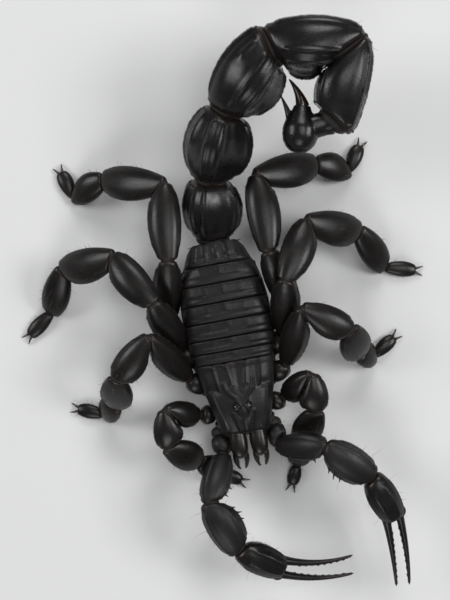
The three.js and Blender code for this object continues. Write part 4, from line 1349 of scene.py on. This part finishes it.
LEG_TUBES = [  # trochanter, femur, patella, tibia, basitarsus, telotarsus
    {"wide": 3.8, "deep": 3.2, "rows": 30, "cols": 36, "grain": 0.3, "bristles": 0.25},
    {"wide": 4.9, "deep": 3.5, "rows": 50, "cols": 52, "grain": 0.6, "bristles": 0.35},
    {"wide": 5.7, "deep": 3.6, "rows": 50, "cols": 52, "grain": 0.55, "bristles": 0.4},
    {"wide": 6.2, "deep": 3.3, "rows": 46, "cols": 44, "grain": 0.35, "bristles": 0.6},
    {"wide": 5.2, "deep": 2.8, "rows": 36, "cols": 32, "grain": 0.15, "bristles": 0.8},
    {"wide": 2.9, "deep": 1.8, "rows": 34, "cols": 28, "grain": 0, "bristles": 1},
]
LEG_KEELS = [
    [(50, 0.12, 10, 0.06, 0.2, 0.85), (104, 0.12, 10, 0.07, 0.2, 0.85)],
    [(80, 0.2, 9, 0.085, 0.08, 0.94), (128, 0.16, 9, 0.08, 0.08, 0.94)],
    [(72, 0.2, 9, 0.08, 0.1, 0.93), (125, 0.16, 9, 0.07, 0.1, 0.93)],
    [(70, 0.1, 9, 0.055, 0.15, 0.9)],
    [],
    [],
]
LEGS = [  # lengths of the six tubes, pitches of the first three and headings of all six, from front to rear
    {
        "lengths": (3, 6.9, 5.8, 7.7, 5.8, 3.9),
        "pitches": (12, 36, -10),
        "left": (126, 127, 9, -20, -8, -14),
        "right": (-92, -96, 4, 57, 62, 64),
    },
    {
        "lengths": (4, 12.1, 8.7, 8.8, 5.5, 4.8),
        "pitches": (21, 40, -14),
        "left": (142, 163, 68, 28, 89, 131),
        "right": (-130, -135, -39, -10, -56, -100),
    },
    {
        "lengths": (4.3, 11.8, 10.4, 11.0, 9.6, 5.6),
        "pitches": (25, 40, -14),
        "left": (150, 179, 158, 84, 42, 84),
        "right": (-140, -149, -137, -79, -22, -43),
    },
    {
        "lengths": (4.5, 13.0, 12.6, 12.4, 7.1, 4.8),
        "pitches": (4, 30, -6),
        "left": (120, -158, -172, 106, 86, 154),
        "right": (-120, 178, -175, -99, -69, -150),
    },
]
LEG_GRANULES = {"row_gap": 0.26, "grain_gap": 0.42, "grain": 0.065}
LEG_NODES = {"thigh": slice(0, 2), "knee": slice(2, 3), "foot": slice(3, 6)}
ANKLE_HEIGHT = 1.0
TOE_HEIGHT = 0.5
CLAW = {"length": 1.3, "spread": math.radians(26), "apart": 0.28}
CLAW_SHAPE = {"bow": 0.3, "thick": 0.62, "tip": 0.16, "rows": 20, "cols": 14}
SPUR_SHAPE = {"bow": 0.05, "thick": 0.4, "tip": 0.1, "rows": 12, "cols": 10}

leg_look = cuticle(
    "brownish_leg_cuticle",
    deep=(0.0034, 0.0032, 0.0032),
    warm=(0.0082, 0.0064, 0.0054),
    edge=(0.022, 0.013, 0.009),
    rough=(0.27, 0.38),
    pits={"deep": 0.012, "scale": 5000.0},
)


def pitch_down(drop, length):
    """The pitch at which a length comes down by a drop."""
    return -math.degrees(math.asin(drop / length))


def above_floor(part):
    """Flattens whatever would reach below the board."""
    part["points"][:, 2] = np.maximum(part["points"][:, 2], 0.0)
    return part


def spur(ankle, step, beside, edge):
    """A spur on one side of the last joint of a foot that points along step."""
    root = ankle + beside * edge * 0.35 - UP * 0.3
    end = root + step * 0.9 + beside * edge * 0.55 - UP * 0.15
    return hook(root, end, beside, **SPUR_SHAPE)


def claw(toe, step, beside, edge):
    """One of the two claws at the end of a foot that points along step."""
    aside = beside * edge
    root = toe - step * 0.4 + aside * CLAW["apart"] + UP * 0.1
    way = step * math.cos(CLAW["spread"]) + aside * math.sin(CLAW["spread"])
    end = toe + CLAW["length"] * way + aside * CLAW["apart"]
    end[2] = CLAW_SHAPE["tip"]
    return above_floor(hook(root, end, UP, **CLAW_SHAPE))


leg_pieces, leg_skin = [], []
for name, side in SIDES.items():
    claws = []
    for number, ((across, back), bulk, leg) in enumerate(zip(HIPS, LEG_BULK, LEGS), 1):
        lengths, pitches = leg["lengths"], leg["pitches"]
        rise = sum(long * math.sin(math.radians(pitch)) for long, pitch in zip(lengths, pitches))
        shin = pitch_down(HIP_HEIGHT + rise - ANKLE_HEIGHT, lengths[3] + lengths[4])
        foot = pitch_down(ANKLE_HEIGHT - TOE_HEIGHT, lengths[5])
        hip = trunk(side * across, back, HIP_HEIGHT)
        joints = chain(hip, lengths, leg[name], (*pitches, shin, shin, foot))
        pieces, skins = [], []
        for i, (tube, keels) in enumerate(zip(LEG_TUBES, LEG_KEELS)):
            wide, deep = tube["wide"] * bulk - 0.12, tube["deep"] * bulk - 0.1
            piece = limb(joints, i, wide, deep, keels=mirrored(keels), corner=2.15, lip=0.35)
            skin = limb_skin(piece, tube["rows"], tube["cols"], tube["grain"])
            pieces.append(piece)
            skins.append([above_floor(skin), *keel_rows(piece)])
        ankle, toe = joints[5:]
        step = unit((toe - ankle) * (1, 1, 0))
        beside = np.cross(UP, step)
        skins[5] += [spur(ankle, step, beside, edge) for edge in (-1, 1)]
        claws += [claw(toe, step, beside, edge) for edge in (-1, 1)]
        for node, held in LEG_NODES.items():
            piece_name, nodes = f"{name}_leg_{number}_{node}", [f"leg_{number}_{node}_{name}"]
            parts = [part for skin in skins[held] for part in skin]
            shelled(piece_name, parts, leg_look, "leg", nodes, **LEG_GRANULES, seed=100 + number)
        root_wide, root_deep = (LEG_TUBES[0][key] * 0.5 * bulk for key in ("wide", "deep"))
        leg_skin.append(joint_ball(joints, 0, root_wide, root_deep, 0.75))
        leg_skin += [above_floor(sleeve) for sleeve in sleeves(pieces, reach=0.6, cols=28)]
        leg_pieces += pieces
    shelled(f"{name}_claws", claws, horn_look, "claw", [])
shelled("leg_joint_skin", leg_skin, skin_look, "membrane", [])

# ---- Bristles ---------------------------------------------------------------------------------------------
# Short stiff bristles of red-brown cuticle grow from pits all over the limbs, thickest on the feet. Long
# hairs as fine as thread stand on the arms and hands, and feel the air move.

BRISTLE_RINGS = [(0.0, 0.0, 1.0), (0.05, 0.4, 0.75), (0.18, 0.75, 0.42)]  # bend, height and thickness
BRISTLE_TIP = (0.34, 0.0, 1.0)
BRISTLE_RADIUS = 0.032
SWAY = 0.28  # how far bristles lean at random
TUFT_PATCH = 0.003  # the patch of the unwrap that one bristle takes up
CELLS = 8  # limb pieces lie in a square of this many cells each way on the unwrap
CELL_MARGIN = 0.06

bristle_look, tree, shader, place = blank_material("red_brown_bristle")
brown = blend(tree, mottle(tree, place, 260.0), (0.018, 0.010, 0.007), (0.060, 0.030, 0.016))
feed(tree, shader, {"Base Color": brown, "Roughness": 0.42})


def bristle_shape():
    """One curved three-sided bristle a unit long, standing on the origin, with its own small unwrap."""
    turns = [2 * math.pi * k / 3 for k in range(3)]
    points = [
        (bend + size * BRISTLE_RADIUS * math.cos(turn), size * BRISTLE_RADIUS * math.sin(turn), high)
        for bend, high, size in BRISTLE_RINGS
        for turn in turns
    ]
    sides = grid_quads(3, 3, closed=True)[:, [0, 3, 2, 1]]
    tip = [(6 + k, 6 + (k + 1) % 3, 9) for k in range(3)]
    mesh = bpy.data.meshes.new("bristle_shape")
    mesh.from_pydata([*points, BRISTLE_TIP], [], [(2, 1, 0), *sides.tolist(), *tip])
    flat = mesh.uv_layers.new(name="strip")
    for loop in mesh.loops:
        _, y, high = mesh.vertices[loop.vertex_index].co
        flat.uv[loop.index].vector = (0.5 + (y / BRISTLE_RADIUS) * 0.5 * (1 - high), high)
    return placed("bristle_shape", mesh)


def vector_sum(tree, a, b):
    """The sum of two vectors in a tree."""
    return wired(tree, "ShaderNodeVectorMath", {0: a, 1: b}, operation="ADD").outputs["Vector"]


def bristle_tree():
    """Grows bristles on a skin. Each leans the way the skin says and takes its root's place on the unwrap."""
    sizes = ("Spacing", "Length", "Thickness")
    sockets = {"Skin": "Geometry", "Shape": "Object", **dict.fromkeys(sizes, "Float")}
    tree, given = new_tree("bristles", sockets)
    roots = strewn(tree, given["Skin"], given["Spacing"], 1.0, given["Seed"]).outputs[0]
    ends = {0: (-SWAY, -SWAY, -SWAY), 1: (SWAY, SWAY, SWAY), "Seed": given["Seed"]}
    sway = wired(tree, "FunctionNodeRandomValue", ends, data_type="FLOAT_VECTOR").outputs[0]
    turn = standing(tree, vector_sum(tree, named(tree, "out", "FLOAT_VECTOR"), sway))
    chance = random_between(tree, 0.55, 1.2, given["Seed"])
    long, thick = (times(tree, given[label], chance) for label in ("Length", "Thickness"))
    size = wired(tree, "ShaderNodeCombineXYZ", {"X": thick, "Y": thick, "Z": long}).outputs[0]
    copies = copies_on(tree, roots, shape_of(tree, given), turn, size)
    real = wired(tree, "GeometryNodeRealizeInstances", {"Geometry": copies}).outputs[0]
    strip = {0: named(tree, "strip", "FLOAT_VECTOR"), "Scale": TUFT_PATCH}
    patch = wired(tree, "ShaderNodeVectorMath", strip, operation="SCALE").outputs["Vector"]
    spot = vector_sum(tree, named(tree, "unwrap", "FLOAT_VECTOR"), patch)
    stored = {"Geometry": real, "Name": "OFBake", "Value": spot}
    mapped = wired(tree, "GeometryNodeStoreNamedAttribute", stored, data_type="FLOAT2", domain="CORNER")
    return end_tree(tree, given, mapped.outputs[0])


def growing_skin(piece, cell, density, lean, rows=26, cols=25):
    """The part of a limb's skin where bristles grow: their density, lie and place on the unwrap."""
    share = np.linspace(0, 1, rows)[:, None]
    around = np.linspace(0, 1, cols)
    angle = np.linspace(-math.pi, math.pi, cols)
    near, far = both_mouths(piece, angle)
    grid = limb_points(piece, near + (0.08 + share * 0.86) * (far - near), angle)
    lie = unit(normals_of(grid) + lean * piece["axis"])
    room = 1 - 2 * CELL_MARGIN
    unwrap = np.zeros((rows, cols, 3))
    unwrap[..., 0] = (cell % CELLS + CELL_MARGIN + room * around) / CELLS
    unwrap[..., 1] = (cell // CELLS + CELL_MARGIN + room * share) / CELLS
    part = {"points": grid.reshape(-1, 3), "faces": [grid_quads(rows, cols)]}
    part["grain"] = (density * ease((grid[..., 2] + 0.9 * lie[..., 2] - 0.25) / 0.4)).ravel()
    return part | {"out": lie, "unwrap": unwrap}


def coat(name, pieces, densities, spacing, length, thickness, seed, lean=0.75):
    """A finished coat of bristles over some limb pieces, whose densities follow one another in turn."""
    skins = []
    for cell, piece in enumerate(pieces):
        skins.append(growing_skin(piece, cell, densities[cell % len(densities)], lean))
    sizes = {"spacing": spacing * MM, "length": length * MM, "thickness": thickness * MM}
    facts = {"shape": bristle, "seed": seed, "finish": bristle_look}
    piece = grown(name, raw_mesh(name, skins), bristles, **facts, **sizes)
    piece.data.uv_layers.remove(piece.data.uv_layers["strip"])
    on_the_body(piece)


bristle = bristle_shape()
bristles = bristle_tree()
leg_densities = [tube["bristles"] for tube in LEG_TUBES]
coat("leg_bristles", leg_pieces, leg_densities, spacing=0.75, length=1.0, thickness=0.9, seed=5)
coat("tail_bristles", tail_pieces, [0.5], spacing=1.6, length=1.15, thickness=0.9, seed=6)
coat("arm_bristles", arm_pieces, [0.6], spacing=1.15, length=1.0, thickness=0.9, seed=7)
coat("arm_feeler_hairs", arm_pieces, [0.8], spacing=2.0, length=2.6, thickness=0.7, seed=8, lean=0.1)
bpy.data.objects.remove(bristle)
